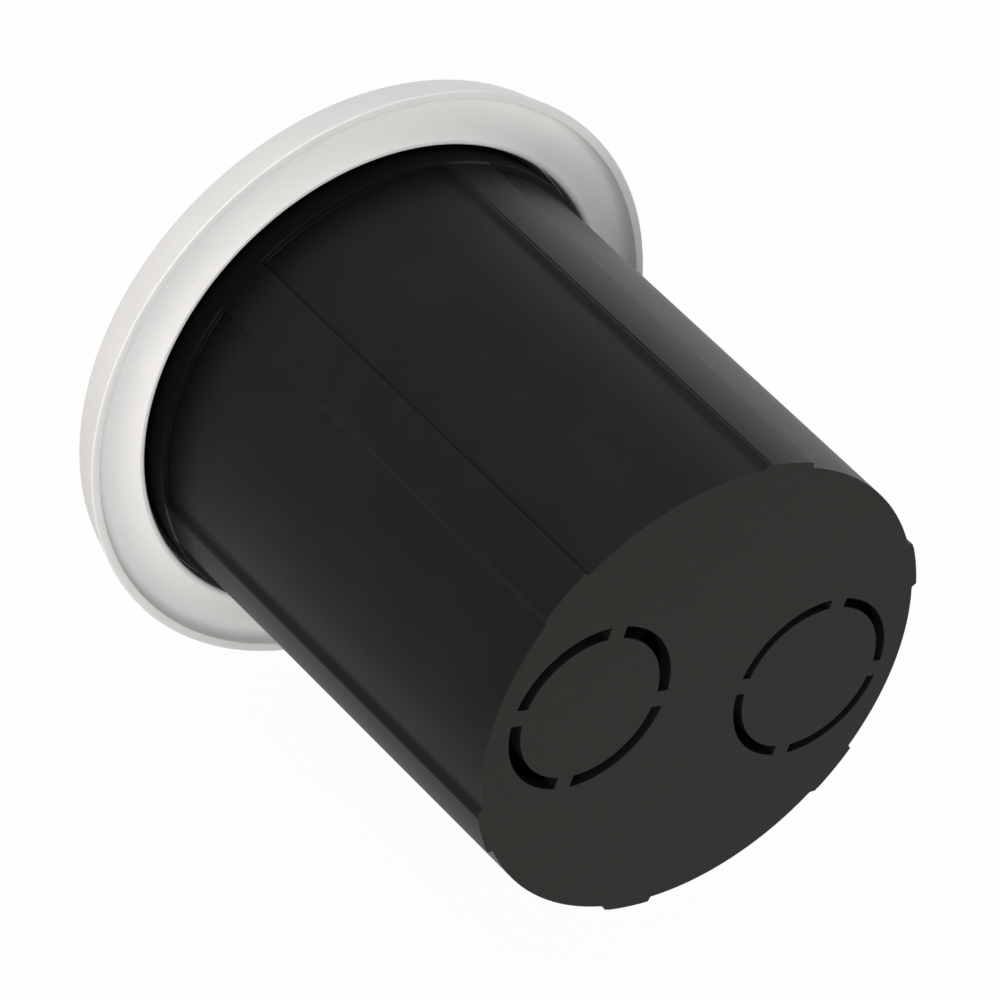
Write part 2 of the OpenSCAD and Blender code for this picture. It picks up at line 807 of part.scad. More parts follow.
// Ring that seals the housing to the bezel
module housing_seal_ring() {
    color("#1f1f1f")
        seal_ring(housing_ring_r, housing_ring_sec, back_y + housing_ring_sec / 2);
}

// Ring that seals the spigot in the can's mouth
module spigot_seal_ring() {
    color("#1f1f1f")
        seal_ring(spigot_ring_r, spigot_ring_sec, spigot_ring_y);
}

// Flat gasket in the bezel's groove, which the can's mouth meets
module mouth_gasket() {
    color("#1f1f1f")
        flat_ring(spigot_r + mouth_gasket_side, lip_r - mouth_gasket_side, groove_y,
            groove_y + mouth_gasket_t);
}

// Green board of the driver
module driver_board() {
    color("#1f6b3a")
        difference() {
            rod(driver_board_r, driver_y, driver_back_y);
            on_circle(post_ring_r, driver_screws)
                rod(small_screw_r + screw_fit, driver_y - over, driver_back_y + over);
        }
}

// Three screws that hold the driver board
module driver_board_screws() {
    color("#b9bbbd")
        on_circle(post_ring_r, driver_screws)
            translate([0, driver_back_y, 0])
                pan_screw(small_screw_r, small_screw_len, small_head_r, small_head_h);
}

// Transformer: a ferrite core round a taped winding
module driver_transformer() {
    core_t = transformer_size[1] / 4;
    translate([transformer_x, driver_back_y, 0]) {
        color("#3b3a38")
            difference() {
                translate([-transformer_size[0] / 2, 0, -transformer_size[1] / 2])
                    cube([transformer_size[0], transformer_size[2], transformer_size[1]]);
                translate([-transformer_size[0] / 2 + core_t, core_t,
                    -transformer_size[1] / 2 - over])
                    cube([transformer_size[0] - 2 * core_t, transformer_size[2] - 2 * core_t,
                        transformer_size[1] + 2 * over]);
            }
        color("#d9b23c")
            translate([-transformer_size[0] / 2 + core_t, core_t,
                -(transformer_size[1] + core_t) / 2])
                cube([transformer_size[0] - 2 * core_t, transformer_size[2] - 2 * core_t,
                    transformer_size[1] + core_t]);
    }
}

// Two capacitors above the transformer and the terminal block
module driver_capacitors() {
    color("#23304a")
        for (side = [-1, 1])
            translate([side * capacitor_x, 0, capacitor_z])
                rod(capacitor_r, driver_back_y, driver_back_y + capacitor_h);
}

// Wound choke below the transformer
module driver_choke() {
    flange = choke_h / 7;
    color("#7a4a22")
        translate([choke_x, driver_back_y, choke_z])
            turned([[0, 0], [choke_r, 0], [choke_r, flange],
                [choke_r - flange / 2, flange], [choke_r - flange / 2, choke_h - flange],
                [choke_r, choke_h - flange], [choke_r, choke_h], [0, choke_h]]);
}

// Two-pole terminal block with its wire entries to the rear
module terminal_block() {
    color("#e4e2da")
        difference() {
            translate([terminal_x - terminal_size[0] / 2, driver_back_y,
                -terminal_size[1] / 2])
                cube([terminal_size[0], terminal_size[2], terminal_size[1]]);
            terminal_places() {
                rod(wire_hole_r, terminal_size[2] - wire_hole_depth, terminal_size[2] + over);
                translate([0, terminal_size[2] / 2, 0])
                    cylinder(r = small_screw_r + screw_fit, h = terminal_size[1]);
            }
        }
}

// Places of the terminal block's two poles
module terminal_places() {
    for (side = [-1, 1])
        translate([terminal_x + side * terminal_pitch / 2, driver_back_y, 0])
            children();
}

// Two screws that clamp the wires in the terminal block
module terminal_screws() {
    grip_z = wire_hole_r + screw_fit;
    slot_w = small_screw_r / 2;
    color("#c9a957")
        terminal_places()
            translate([0, terminal_size[2] / 2, grip_z])
                difference() {
                    cylinder(r = small_screw_r, h = terminal_size[1] / 2 - grip_z);
                    translate([-small_screw_r - over, -slot_w / 2,
                        terminal_size[1] / 2 - grip_z - slot_w])
                        cube([2 * (small_screw_r + over), slot_w, slot_w + over]);
                }
}

// Cover that closes the driver chamber
module rear_cover() {
    color("#3a3b3d")
        difference() {
            rod(housing_r, cover_gasket_y, cover_y);
            rod(gland_r + screw_fit, cover_gasket_y - over, cover_y + over);
            on_circle(cover_screw_r, cover_screws)
                rod(small_screw_r + screw_fit, cover_gasket_y - over, cover_y + over);
        }
}

// Gasket between the cover and the housing
module rear_cover_gasket() {
    color("#1f1f1f")
        difference() {
            flat_ring(cover_gasket_in_r, housing_r - ring_room, housing_len, cover_gasket_y);
            on_circle(cover_screw_r, cover_screws)
                rod(small_screw_r + screw_fit, housing_len - over, cover_gasket_y + over);
        }
}

// Four screws that hold the rear cover
module rear_cover_screws() {
    color("#b9bbbd")
        on_circle(cover_screw_r, cover_screws)
            translate([0, cover_y, 0])
                pan_screw(small_screw_r, cover_screw_len, small_head_r, small_head_h);
}

// Body of the cable gland
module gland_body() {
    color("#242424")
        difference() {
            union() {
                rod(gland_r, gland_front_y, gland_end_y);
                hex_rod(gland_hex_r, cover_y, gland_hex_y);
            }
            rod(gland_bore_r, gland_front_y - over, gland_end_y + over);
        }
}

// Nut that holds the gland inside the cover
module gland_locknut() {
    color("#242424")
        difference() {
            hex_rod(gland_hex_r, gland_front_y, cover_gasket_y);
            rod(gland_r + screw_fit, gland_front_y - over, cover_gasket_y + over);
        }
}

// Rubber sleeve that grips the cable
module gland_seal() {
    color("#4a4a4a")
        flat_ring(seal_bore_r, gland_bore_r - screw_fit, seal_y, seal_end_y);
}

// Nut that presses the seal
module gland_nut() {
    dome = gland_nut_len / 3;
    color("#242424")
        difference() {
            union() {
                hex_rod(gland_hex_r, nut_y, nut_end_y - dome);
                turned([[0, nut_y], [gland_hex_r * cos(30), nut_y],
                    [gland_hex_r * cos(30), nut_end_y - dome],
                    [gland_r, nut_end_y], [0, nut_end_y]]);
            }
            rod(gland_r + screw_fit, nut_y - over, seal_end_y);
            rod(nut_hole_r, nut_y, nut_end_y + over);
        }
}

// Two hinge pins, each with a head at one end
module clip_pins() {
    color("#b9bbbd")
        for (side = [-1, 1])
            translate([side * pivot_x, pivot_y, -ear_out_z]) {
                cylinder(r = pin_r, h = 2 * ear_out_z + ring_room);
                translate([0, 0, -pin_head_t])
                    cylinder(r = pin_head_r, h = pin_head_t);
            }
}

// Strip between two points, across the width of a clip
module strip(from, len, lean, w) {
    translate([from[0], from[1], -w / 2])
        rotate([0, 0, -lean])
            translate([-clip_t / 2, 0, 0])
                cube([clip_t, len, w]);
}

// Sprung clip, in a frame at its hinge pin, with its arm along +Y
module clip_shape() {
    difference() {
        union() {
            strip([arm_x, 0], norm([arm_dx, arm_dy]), arm_lean, clip_w);
            translate([arm_x + arm_dx, arm_dy, -clip_w / 2])
                cylinder(r = toe_r, h = clip_w);
            strip([arm_x + arm_dx, arm_dy], hook_len, hook_lean, clip_w);
            for (z = [-clip_w / 2, tab_z])
                translate([0, 0, z]) {
                    cylinder(r = knuckle_r, h = tab_w);
                    cube([arm_x, window_y + clip_t, tab_w]);
                }
        }
        translate([0, 0, -clip_w / 2 - over])
            cylinder(r = pin_r + pin_fit, h = clip_w + 2 * over);
        translate([-knuckle_r, -knuckle_r - over, -tab_z])
            cube([2 * knuckle_r + arm_x, knuckle_r + over + window_y, 2 * tab_z]);
    }
}

// Torsion spring, in the same frame: foot, coil and leg
module spring_shape() {
    coil_count = spring_turns * turn_rings;
    lean = [sin(arm_lean), cos(arm_lean), 0];
    coil = [for (i = [0:coil_count])
        let (a = 180 + 360 * i / turn_rings)
        [spring_coil_r * cos(a), spring_coil_r * sin(a), spring_w * (i / coil_count - 1 / 2)]];
    path = concat([coil[0] + [0, spring_foot, 0]], coil,
        [coil[coil_count] + spring_leg * lean]);
    wire(path, spring_wire_r);
}

module clip_right() {
    color("#c4c6c8")
        translate([pivot_x, pivot_y, 0])
            clip_shape();
}

module clip_left() {
    color("#c4c6c8")
        mirror([1, 0, 0])
            translate([pivot_x, pivot_y, 0])
                clip_shape();
}

module clip_spring_right() {
    color("#9c9ea0")
        translate([pivot_x, pivot_y, 0])
            spring_shape();
}

module clip_spring_left() {
    color("#9c9ea0")
        mirror([1, 0, 0])
            translate([pivot_x, pivot_y, 0])
                spring_shape();
}

mounting_can();
bezel();
eyelid_hood();
hood_screws();
lens();
lens_gasket_front();
lens_gasket_rear();
reflector();
led_board();
led_emitters();
led_board_screws();
thermal_pad();
led_leads();
lamp_housing();
housing_screws();
housing_seal_ring();
spigot_seal_ring();
mouth_gasket();
driver_board();
driver_board_screws();
driver_transformer();
driver_capacitors();
driver_choke();
terminal_block();
terminal_screws();
rear_cover();
rear_cover_gasket();
rear_cover_screws();
gland_body();
gland_locknut();
gland_seal();
gland_nut();
clip_pins();
clip_right();
clip_left();
clip_spring_right();
clip_spring_left();
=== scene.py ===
from math import atan2, cos, degrees, hypot, pi, radians, sin, tan
import bmesh
import bpy
from mathutils import Matrix, Vector


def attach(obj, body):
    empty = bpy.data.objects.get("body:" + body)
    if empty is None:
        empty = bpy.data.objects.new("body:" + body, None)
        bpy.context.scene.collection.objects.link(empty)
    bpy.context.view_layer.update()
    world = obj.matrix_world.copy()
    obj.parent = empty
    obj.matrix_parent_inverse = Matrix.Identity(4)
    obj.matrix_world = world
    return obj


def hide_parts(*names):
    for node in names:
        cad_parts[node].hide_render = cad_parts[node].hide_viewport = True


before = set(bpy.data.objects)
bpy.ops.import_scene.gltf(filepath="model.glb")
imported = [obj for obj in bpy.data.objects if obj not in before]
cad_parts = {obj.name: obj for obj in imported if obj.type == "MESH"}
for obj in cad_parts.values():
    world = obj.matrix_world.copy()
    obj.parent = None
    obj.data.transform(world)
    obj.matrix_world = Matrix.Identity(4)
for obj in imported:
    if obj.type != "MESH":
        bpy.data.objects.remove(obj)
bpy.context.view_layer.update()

# View: the light lies on a pale floor, seen from behind, above and to one side, as in
# the photograph. Large soft lamps stand round it and the surroundings are plain white.
mm = 0.001
right = Vector((-0.77933, 0.55834, 0.28443))
up = Vector((-0.07729, -0.5361, 0.84061))
back = Vector((0.62183, 0.63313, 0.46095))
eye = Vector((348.989, 387.321, 258.47)) * mm

camera = bpy.data.objects.new("camera", bpy.data.cameras.new("camera"))
camera.data.sensor_width = 36
camera.data.lens = 144
camera.data.clip_start = 0.01
camera.matrix_world = Matrix((right, up, back)).transposed().to_4x4()
camera.matrix_world.translation = eye
bpy.context.collection.objects.link(camera)
bpy.context.scene.camera = camera
bpy.context.scene.view_settings.view_transform = "Standard"


def softbox(name, place, width, height, power, tint):
    """Square lamp that looks at the middle of the object."""
    data = bpy.data.lights.new(name, "AREA")
    data.shape = "RECTANGLE"
    data.size, data.size_y = width, height
    data.energy = power
    data.color = tint
    lamp = bpy.data.objects.new(name, data)
    middle = Vector((0, 30 * mm, 0))
    lamp.matrix_world = (middle - place).to_track_quat("-Z", "Y").to_matrix().to_4x4()
    lamp.matrix_world.translation = place
    bpy.context.collection.objects.link(lamp)


softbox("lamp_behind", Vector((0.5, 1.0, 0.16)), 0.6, 0.4, 6.0, (1, 0.995, 0.985))
softbox("lamp_above", Vector((0.45, -0.12, 1.0)), 0.6, 0.6, 4.7, (0.99, 0.995, 1))
softbox("lamp_across", Vector((-0.75, -0.68, 0.35)), 0.6, 0.5, 1.2, (1, 1, 1))
softbox("lamp_low", Vector((1.0, 0.3, 0.06)), 0.5, 0.2, 2.2, (1, 0.86, 0.7))


def seen_rays(tree):
    """Is 1 for what the camera sees by itself, in a reflection or through glass."""
    rays = tree.nodes.new("ShaderNodeLightPath")
    value = rays.outputs["Is Camera Ray"]
    for kind in ("Is Glossy Ray", "Is Transmission Ray"):
        larger = tree.nodes.new("ShaderNodeMath")
        larger.operation = "MAXIMUM"
        tree.links.new(value, larger.inputs[0])
        tree.links.new(rays.outputs[kind], larger.inputs[1])
        value = larger.outputs[0]
    return value


world = bpy.data.worlds.new("studio")
bpy.context.scene.world = world
world.use_nodes = True
tree = world.node_tree
tree.nodes.clear()
room = tree.nodes.new("ShaderNodeBackground")
room.inputs["Color"].default_value = (1, 1, 1, 1)
room.inputs["Strength"].default_value = 0.3
white = tree.nodes.new("ShaderNodeBackground")
white.inputs["Color"].default_value = (1, 1, 1, 1)
white.inputs["Strength"].default_value = 1.0
choose = tree.nodes.new("ShaderNodeMixShader")
tree.links.new(seen_rays(tree), choose.inputs[0])
tree.links.new(room.outputs[0], choose.inputs[1])
tree.links.new(white.outputs[0], choose.inputs[2])
world_out = tree.nodes.new("ShaderNodeOutputWorld")
tree.links.new(choose.outputs[0], world_out.inputs["Surface"])

floor_z = -47.8 * mm
bpy.ops.object.select_all(action="DESELECT")
bpy.ops.mesh.primitive_plane_add(size=6, location=(0, 0, floor_z))
floor = bpy.context.object
floor.name = "floor"
bpy.ops.object.transform_apply(location=True, rotation=True, scale=True)
pale = bpy.data.materials.new("floor_pale")
pale.use_nodes = True
tree = pale.node_tree
tree.nodes.clear()
matte = tree.nodes.new("ShaderNodeBsdfDiffuse")
matte.inputs["Color"].default_value = (0.86, 0.86, 0.86, 1)
glow = tree.nodes.new("ShaderNodeEmission")
glow.inputs["Strength"].default_value = 1.0
share = tree.nodes.new("ShaderNodeMath")
share.operation = "MULTIPLY"
share.inputs[1].default_value = 0.97
tree.links.new(seen_rays(tree), share.inputs[0])
blend = tree.nodes.new("ShaderNodeMixShader")
tree.links.new(share.outputs[0], blend.inputs[0])
tree.links.new(matte.outputs[0], blend.inputs[1])
tree.links.new(glow.outputs[0], blend.inputs[2])
floor_out = tree.nodes.new("ShaderNodeOutputMaterial")
tree.links.new(blend.outputs[0], floor_out.inputs["Surface"])
floor.data.materials.append(pale)

# Mounting can: one moulding in black, fine-textured polypropylene, with a little draft.
# Six raised bands run down it, recessed panels lie between them and end short of the
# mouth, and the closed end has two rings of slots round the discs that knock out.
can_depth = 80 * mm
can_draft = radians(1.4)
mouth_y = -2.6 * mm
panel_y = 3.1 * mm
panel_depth = 0.75 * mm
column_angle = 0.25
wall = 2.5 * mm
end_in_y = 77.5 * mm
soft_edge, soft_width = 4.6, 1.6
crisp_edge, crisp_width = 7.4, 0.5


def can_radius(y):
    """Radius outside the bands at a depth."""
    return 36 * mm + (can_depth - y) * tan(can_draft)


def draw_through(levels):
    """Extrudes the selected ring along the can's axis through [radius, depth] levels."""
    for (r0, y0), (r1, y1) in zip(levels, levels[1:]):
        bpy.ops.mesh.extrude_region_move(TRANSFORM_OT_translate={"value": (0, y1 - y0, 0)})
        bpy.ops.transform.resize(value=(r1 / r0, 1, r1 / r0), center_override=(0, y1, 0))


def smooth_step(share):
    """Goes softly from 0 to 1."""
    share = min(max(share, 0), 1)
    return share * share * (3 - 2 * share)


def recess_share(x, y, z):
    """How far down into a panel a point of the can's skin lies, from 0 to 1."""
    if y < panel_y - 0.3 * mm or hypot(x, z) < can_radius(y) - 0.5 * mm:
        return 0
    angle = degrees(atan2(z, x))
    # Each band slopes softly, below a fine line, on the side that faces +X; the other is crisp
    turned_angle = (angle if z >= 0 else -angle) - 30
    place = (turned_angle + 30) % 60 - 30
    if place < 0:
        past_edge = -place - soft_edge
        groove = 0.22 * max(0, 1 - abs(past_edge + 0.25) / 0.3)
        across = max(groove, smooth_step(past_edge / soft_width))
    else:
        across = smooth_step((place - crisp_edge) / crisp_width)
    along = smooth_step((y - panel_y + 0.16 * mm) / (0.42 * mm))
    return across * along


bpy.ops.object.select_all(action="DESELECT")
bpy.ops.mesh.primitive_circle_add(vertices=round(360 / column_angle), radius=1, fill_type="NOTHING",
                                  location=(0, end_in_y, 0), rotation=(radians(90), 0, 0))
can = bpy.context.object
can.name = "can_moulding"
bpy.ops.object.transform_apply(location=True, rotation=True, scale=True)
bpy.ops.object.mode_set(mode="EDIT")
bpy.ops.mesh.select_all(action="SELECT")
inner_end_r = can_radius(end_in_y) - wall
bpy.ops.transform.resize(value=(inner_end_r, 1, inner_end_r), center_override=(0, end_in_y, 0))
mouth_in_r = 35.669 * mm
mouth_out_r = can_radius(mouth_y)
draw_through([(inner_end_r, end_in_y), (can_radius(10 * mm) - wall, 10 * mm), (mouth_in_r, 9.9 * mm),
              (mouth_in_r, mouth_y + 0.25 * mm), (mouth_in_r + 0.08 * mm, mouth_y + 0.07 * mm),
              (mouth_in_r + 0.25 * mm, mouth_y), (mouth_out_r - 0.3 * mm, mouth_y),
              (mouth_out_r - 0.09 * mm, mouth_y + 0.09 * mm)]
             + [(can_radius(y * mm), y * mm) for y in (
                 mouth_y / mm + 0.3, 0, 1.5, 2.6, 2.9, 2.96, 3.01, 3.06, 3.11, 3.16, 3.21, 3.26,
                 3.32, 3.4, 3.6, 5, 12, 24, 36, 48, 60, 70, 77, 79.6, 80)])
bpy.ops.object.mode_set(mode="OBJECT")
recess = can.vertex_groups.new(name="recess")
for point in can.data.vertices:
    depth_share = recess_share(*point.co)
    if depth_share > 0:
        recess.add([point.index], depth_share, "REPLACE")
sink = can.modifiers.new("sink_panels", "DISPLACE")
sink.vertex_group = "recess"
sink.mid_level = 0
sink.strength = -panel_depth
bpy.ops.object.modifier_apply(modifier="sink_panels")


def slot_ring(name, centre_x, outer_r, width, bridge, y0, y1):
    """Walls of the four slots of one knock-out, open at both ends."""
    bpy.ops.object.select_all(action="DESELECT")
    bpy.ops.mesh.primitive_circle_add(vertices=128, radius=outer_r, fill_type="NOTHING",
                                      location=(centre_x, y0, 0), rotation=(radians(90), 0, 0))
    ring = bpy.context.object
    ring.name = name
    bpy.ops.object.transform_apply(location=True, rotation=True, scale=True)
    bpy.ops.object.mode_set(mode="EDIT")
    bpy.ops.mesh.select_all(action="SELECT")
    narrow = (outer_r - width) / outer_r
    bpy.ops.mesh.extrude_region_move(TRANSFORM_OT_translate={"value": (0, 0, 0)})
    bpy.ops.transform.resize(value=(narrow, 1, narrow), center_override=(centre_x, y0, 0))
    for place, normal in (((centre_x + bridge / 2, y0, 0), (1, 0, 0)),
                          ((centre_x - bridge / 2, y0, 0), (1, 0, 0)),
                          ((centre_x, y0, bridge / 2), (0, 0, 1)),
                          ((centre_x, y0, -bridge / 2), (0, 0, 1))):
        bpy.ops.mesh.select_all(action="SELECT")
        bpy.ops.mesh.bisect(plane_co=place, plane_no=normal)
    bm = bmesh.from_edit_mesh(ring.data)
    bpy.ops.mesh.select_all(action="DESELECT")
    bpy.ops.mesh.select_mode(type="FACE")
    for face in bm.faces:
        middle = face.calc_center_median()
        face.select_set(abs(middle.x - centre_x) < bridge / 2 or abs(middle.z) < bridge / 2)
    bmesh.update_edit_mesh(ring.data)
    bpy.ops.mesh.delete(type="FACE")
    bpy.ops.mesh.select_all(action="SELECT")
    bpy.ops.mesh.extrude_region_move(TRANSFORM_OT_translate={"value": (0, y1 - y0, 0)})
    bm = bmesh.from_edit_mesh(ring.data)
    bpy.ops.mesh.select_all(action="DESELECT")
    for face in bm.faces:
        face.select_set(abs(face.normal.y) > 0.5)
    bmesh.update_edit_mesh(ring.data)
    bpy.ops.mesh.delete(type="ONLY_FACE")
    bm = bmesh.from_edit_mesh(ring.data)
    bpy.ops.mesh.select_all(action="DESELECT")
    bpy.ops.mesh.select_mode(type="EDGE")
    for edge in bm.edges:
        edge.select_set(not edge.link_faces)
    bmesh.update_edit_mesh(ring.data)
    bpy.ops.mesh.delete(type="EDGE")
    bpy.ops.object.mode_set(mode="OBJECT")
    return ring


knockout_x, knockout_r, bridge_w = 19.4 * mm, 12.85 * mm, 2.5 * mm
slots = [slot_ring("slots_plus_x", knockout_x, knockout_r, 1.85 * mm, bridge_w, end_in_y, can_depth),
         slot_ring("slots_minus_x", -knockout_x, knockout_r, 1.45 * mm, bridge_w, end_in_y, can_depth)]
bpy.ops.object.select_all(action="DESELECT")
for ring in slots:
    ring.select_set(True)
can.select_set(True)
bpy.context.view_layer.objects.active = can
bpy.ops.object.join()
bpy.ops.object.mode_set(mode="EDIT")
bpy.ops.mesh.select_mode(type="EDGE")
for end_y in (end_in_y, can_depth):
    bpy.ops.mesh.select_all(action="DESELECT")
    bm = bmesh.from_edit_mesh(can.data)
    for edge in bm.edges:
        middle = (edge.verts[0].co + edge.verts[1].co) / 2
        edge.select_set(edge.is_boundary and abs(middle.y - end_y) < 0.05 * mm)
    bmesh.update_edit_mesh(can.data)
    bpy.ops.transform.resize(value=(1, 0, 1), center_override=(0, end_y, 0))
    bpy.ops.mesh.fill(use_beauty=False)
bpy.ops.mesh.select_all(action="SELECT")
bpy.ops.mesh.normals_make_consistent(inside=False)
bpy.ops.object.mode_set(mode="OBJECT")
bpy.ops.object.shade_smooth_by_angle(angle=radians(35))


def finish(name, metallic=0.0, roughness=0.5, specular=0.5, coat=0.0):
    """New material with its shader and the object's own coordinates in metres."""
    material = bpy.data.materials.new(name)
    material.use_nodes = True
    nodes = material.node_tree.nodes
    shader = nodes["Principled BSDF"]
    shader.inputs["Metallic"].default_value = metallic
    shader.inputs["Roughness"].default_value = roughness
    shader.inputs["Specular IOR Level"].default_value = specular
    shader.inputs["Coat Weight"].default_value = coat
    place = nodes.new("ShaderNodeTexCoord")
    place.name = "place"
    return material


def add_noise(material, size, detail=3.0, stretch=(1, 1, 1)):
    """Noise whose grains are about size metres wide, stretched along an axis."""
    tree = material.node_tree
    spread = tree.nodes.new("ShaderNodeMapping")
    spread.inputs["Scale"].default_value = stretch
    noise = tree.nodes.new("ShaderNodeTexNoise")
    noise.inputs["Scale"].default_value = 1 / size
    noise.inputs["Detail"].default_value = detail
    tree.links.new(tree.nodes["place"].outputs["Object"], spread.inputs["Vector"])
    tree.links.new(spread.outputs["Vector"], noise.inputs["Vector"])
    return noise.outputs["Fac"]


def add_range(material, value, low, high, from_low=0.3, from_high=0.7):
    """Stretches a noise to a range of values."""
    tree = material.node_tree
    ranged = tree.nodes.new("ShaderNodeMapRange")
    ranged.inputs["From Min"].default_value = from_low
    ranged.inputs["From Max"].default_value = from_high
    ranged.inputs["To Min"].default_value = low
    ranged.inputs["To Max"].default_value = high
    tree.links.new(value, ranged.inputs["Value"])
    return ranged.outputs["Result"]


def add_colours(material, value, colours):
    """Runs a value through a row of colours and into the shader."""
    tree = material.node_tree
    ramp = tree.nodes.new("ShaderNodeValToRGB")
    while len(ramp.color_ramp.elements) < len(colours):
        ramp.color_ramp.elements.new(0.5)
    for element, (position, colour) in zip(ramp.color_ramp.elements, colours):
        element.position = position
        element.color = (*colour, 1)
    tree.links.new(value, ramp.inputs["Fac"])
    tree.links.new(ramp.outputs["Color"], tree.nodes["Principled BSDF"].inputs["Base Color"])
    return ramp.outputs["Color"]


def add_depth(material, start, end):
    """Goes from 0 to 1 between two depths along the can's axis."""
    tree = material.node_tree
    split = tree.nodes.new("ShaderNodeSeparateXYZ")
    tree.links.new(tree.nodes["place"].outputs["Object"], split.inputs["Vector"])
    ranged = tree.nodes.new("ShaderNodeMapRange")
    ranged.interpolation_type = "SMOOTHSTEP"
    ranged.inputs["From Min"].default_value = start
    ranged.inputs["From Max"].default_value = end
    tree.links.new(split.outputs["Y"], ranged.inputs["Value"])
    return ranged.outputs["Result"]


def mix_colours(material, share, below, colour):
    """Lays a colour over what is below where the share is 1, and into the shader."""
    tree = material.node_tree
    mix = tree.nodes.new("ShaderNodeMix")
    mix.data_type = "RGBA"
    tree.links.new(share, mix.inputs["Factor"])
    tree.links.new(below, mix.inputs["A"])
    mix.inputs["B"].default_value = (*colour, 1)
    tree.links.new(mix.outputs["Result"], tree.nodes["Principled BSDF"].inputs["Base Color"])
    return mix.outputs["Result"]


def add_bump(material, value, height, strength=1.0):
    """Raises the surface by a height in metres where the value is 1."""
    tree = material.node_tree
    bump = tree.nodes.new("ShaderNodeBump")
    bump.inputs["Distance"].default_value = height
    bump.inputs["Strength"].default_value = strength
    tree.links.new(value, bump.inputs["Height"])
    shader = tree.nodes["Principled BSDF"]
    before = shader.inputs["Normal"].links
    if before:
        tree.links.new(before[0].from_socket, bump.inputs["Normal"])
    tree.links.new(bump.outputs["Normal"], shader.inputs["Normal"])


def rough_by(material, value):
    """Sets the shader's roughness from a value."""
    tree = material.node_tree
    tree.links.new(value, tree.nodes["Principled BSDF"].inputs["Roughness"])


def add_between(material, axis, low, high):
    """Is 1 where a coordinate lies between two values, and 0 elsewhere."""
    tree = material.node_tree
    split = tree.nodes.new("ShaderNodeSeparateXYZ")
    tree.links.new(tree.nodes["place"].outputs["Object"], split.inputs["Vector"])
    above = tree.nodes.new("ShaderNodeMath")
    above.operation = "GREATER_THAN"
    above.inputs[1].default_value = low
    below = tree.nodes.new("ShaderNodeMath")
    below.operation = "LESS_THAN"
    below.inputs[1].default_value = high
    tree.links.new(split.outputs[axis], above.inputs[0])
    tree.links.new(split.outputs[axis], below.inputs[0])
    return multiply(material, above.outputs[0], below.outputs[0])


def multiply(material, first, second):
    """Product of two values."""
    tree = material.node_tree
    product = tree.nodes.new("ShaderNodeMath")
    product.operation = "MULTIPLY"
    tree.links.new(first, product.inputs[0])
    tree.links.new(second, product.inputs[1])
    return product.outputs[0]


def add_tracks(material, size):
    """Blocky pattern of conductor tracks on a board that lies across the can's axis."""
    tree = material.node_tree
    turn = tree.nodes.new("ShaderNodeMapping")
    turn.inputs["Rotation"].default_value = (radians(90), 0, 0)
    cells = tree.nodes.new("ShaderNodeTexBrick")
    cells.inputs["Scale"].default_value = 1 / size
    cells.inputs["Mortar Size"].default_value = 0.06
    cells.inputs["Color1"].default_value = (0, 0, 0, 1)
    cells.inputs["Color2"].default_value = (0, 0, 0, 1)
    cells.inputs["Mortar"].default_value = (1, 1, 1, 1)
    tree.links.new(tree.nodes["place"].outputs["Object"], turn.inputs["Vector"])
    tree.links.new(turn.outputs["Vector"], cells.inputs["Vector"])
    return cells.outputs["Color"]


def add_rings(material, pitch):
    """Rings that follow each other along the can's axis at a pitch."""
    tree = material.node_tree
    wave = tree.nodes.new("ShaderNodeTexWave")
    wave.bands_direction = "Y"
    wave.inputs["Scale"].default_value = pi / 10 / pitch
    tree.links.new(tree.nodes["place"].outputs["Object"], wave.inputs["Vector"])
    return wave.outputs["Fac"]


def coat(piece, material):
    """Gives a piece one material."""
    piece.data.materials.clear()
    piece.data.materials.append(material)


def dress(name, material):
    """Gives a piece that stays as drawn in CAD its material."""
    coat(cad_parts[name], material)


can_black = finish("can_black", specular=0.06)
cloud = add_noise(can_black, 9 * mm)
grain = add_noise(can_black, 0.22 * mm, detail=4)
side = add_colours(can_black, cloud, [(0.3, (0.0095, 0.0093, 0.0089)), (0.7, (0.0115, 0.0112, 0.0107))])
# The closed end is painted lighter and warmer than the side, as painted light from the lamps that fall on it.
# The band next to the mouth is duller, and is painted a deeper black as painted shade from the bezel; the
# sharp edges of the panels' shoulders beside it are burnished
end_painted_light = mix_colours(can_black, add_depth(can_black, 79.8 * mm, 79.95 * mm), side,
                         (0.0225, 0.0214, 0.0190))
# Painted shade: the can is painted darker towards the mouth, nearly black by 3.5 mm, where the bezel shades
# it; the same mask makes that band duller
mouth_shade_and_dulling = add_depth(can_black, 12 * mm, 3.5 * mm)
mix_colours(can_black, mouth_shade_and_dulling, end_painted_light, (0.0012, 0.0012, 0.0012))
roughness = add_range(can_black, grain, 0.34, 0.46)
dulling = add_range(can_black, mouth_shade_and_dulling, 1, 1.9, from_low=0, from_high=1)
shoulder = add_between(can_black, "Y", 2.85 * mm, 3.6 * mm)
burnish = add_range(can_black, shoulder, 1, 0.45, from_low=0, from_high=1)
rough_by(can_black, multiply(can_black, multiply(can_black, roughness, dulling), burnish))
add_bump(can_black, grain, 0.02 * mm)
coat(can, can_black)
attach(can, "can")
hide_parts("mounting_can")


def rounded(corners, steps=5):
    """Outline of [radius, depth] points, where a third number rounds the corner."""
    outline = []
    count = len(corners)
    for i, corner in enumerate(corners):
        if len(corner) < 3:
            outline.append((corner[0], corner[1]))
            continue
        here = Vector(corner[:2])
        before = (Vector(corners[i - 1][:2]) - here).normalized()
        after = (Vector(corners[(i + 1) % count][:2]) - here).normalized()
        half = before.angle(after) / 2
        centre = here + (before + after).normalized() * corner[2] / sin(half)
        first = here + before * corner[2] / tan(half) - centre
        last = here + after * corner[2] / tan(half) - centre
        for k in range(steps + 1):
            outline.append(tuple(centre + first.lerp(last, k / steps).normalized() * corner[2]))
    return outline


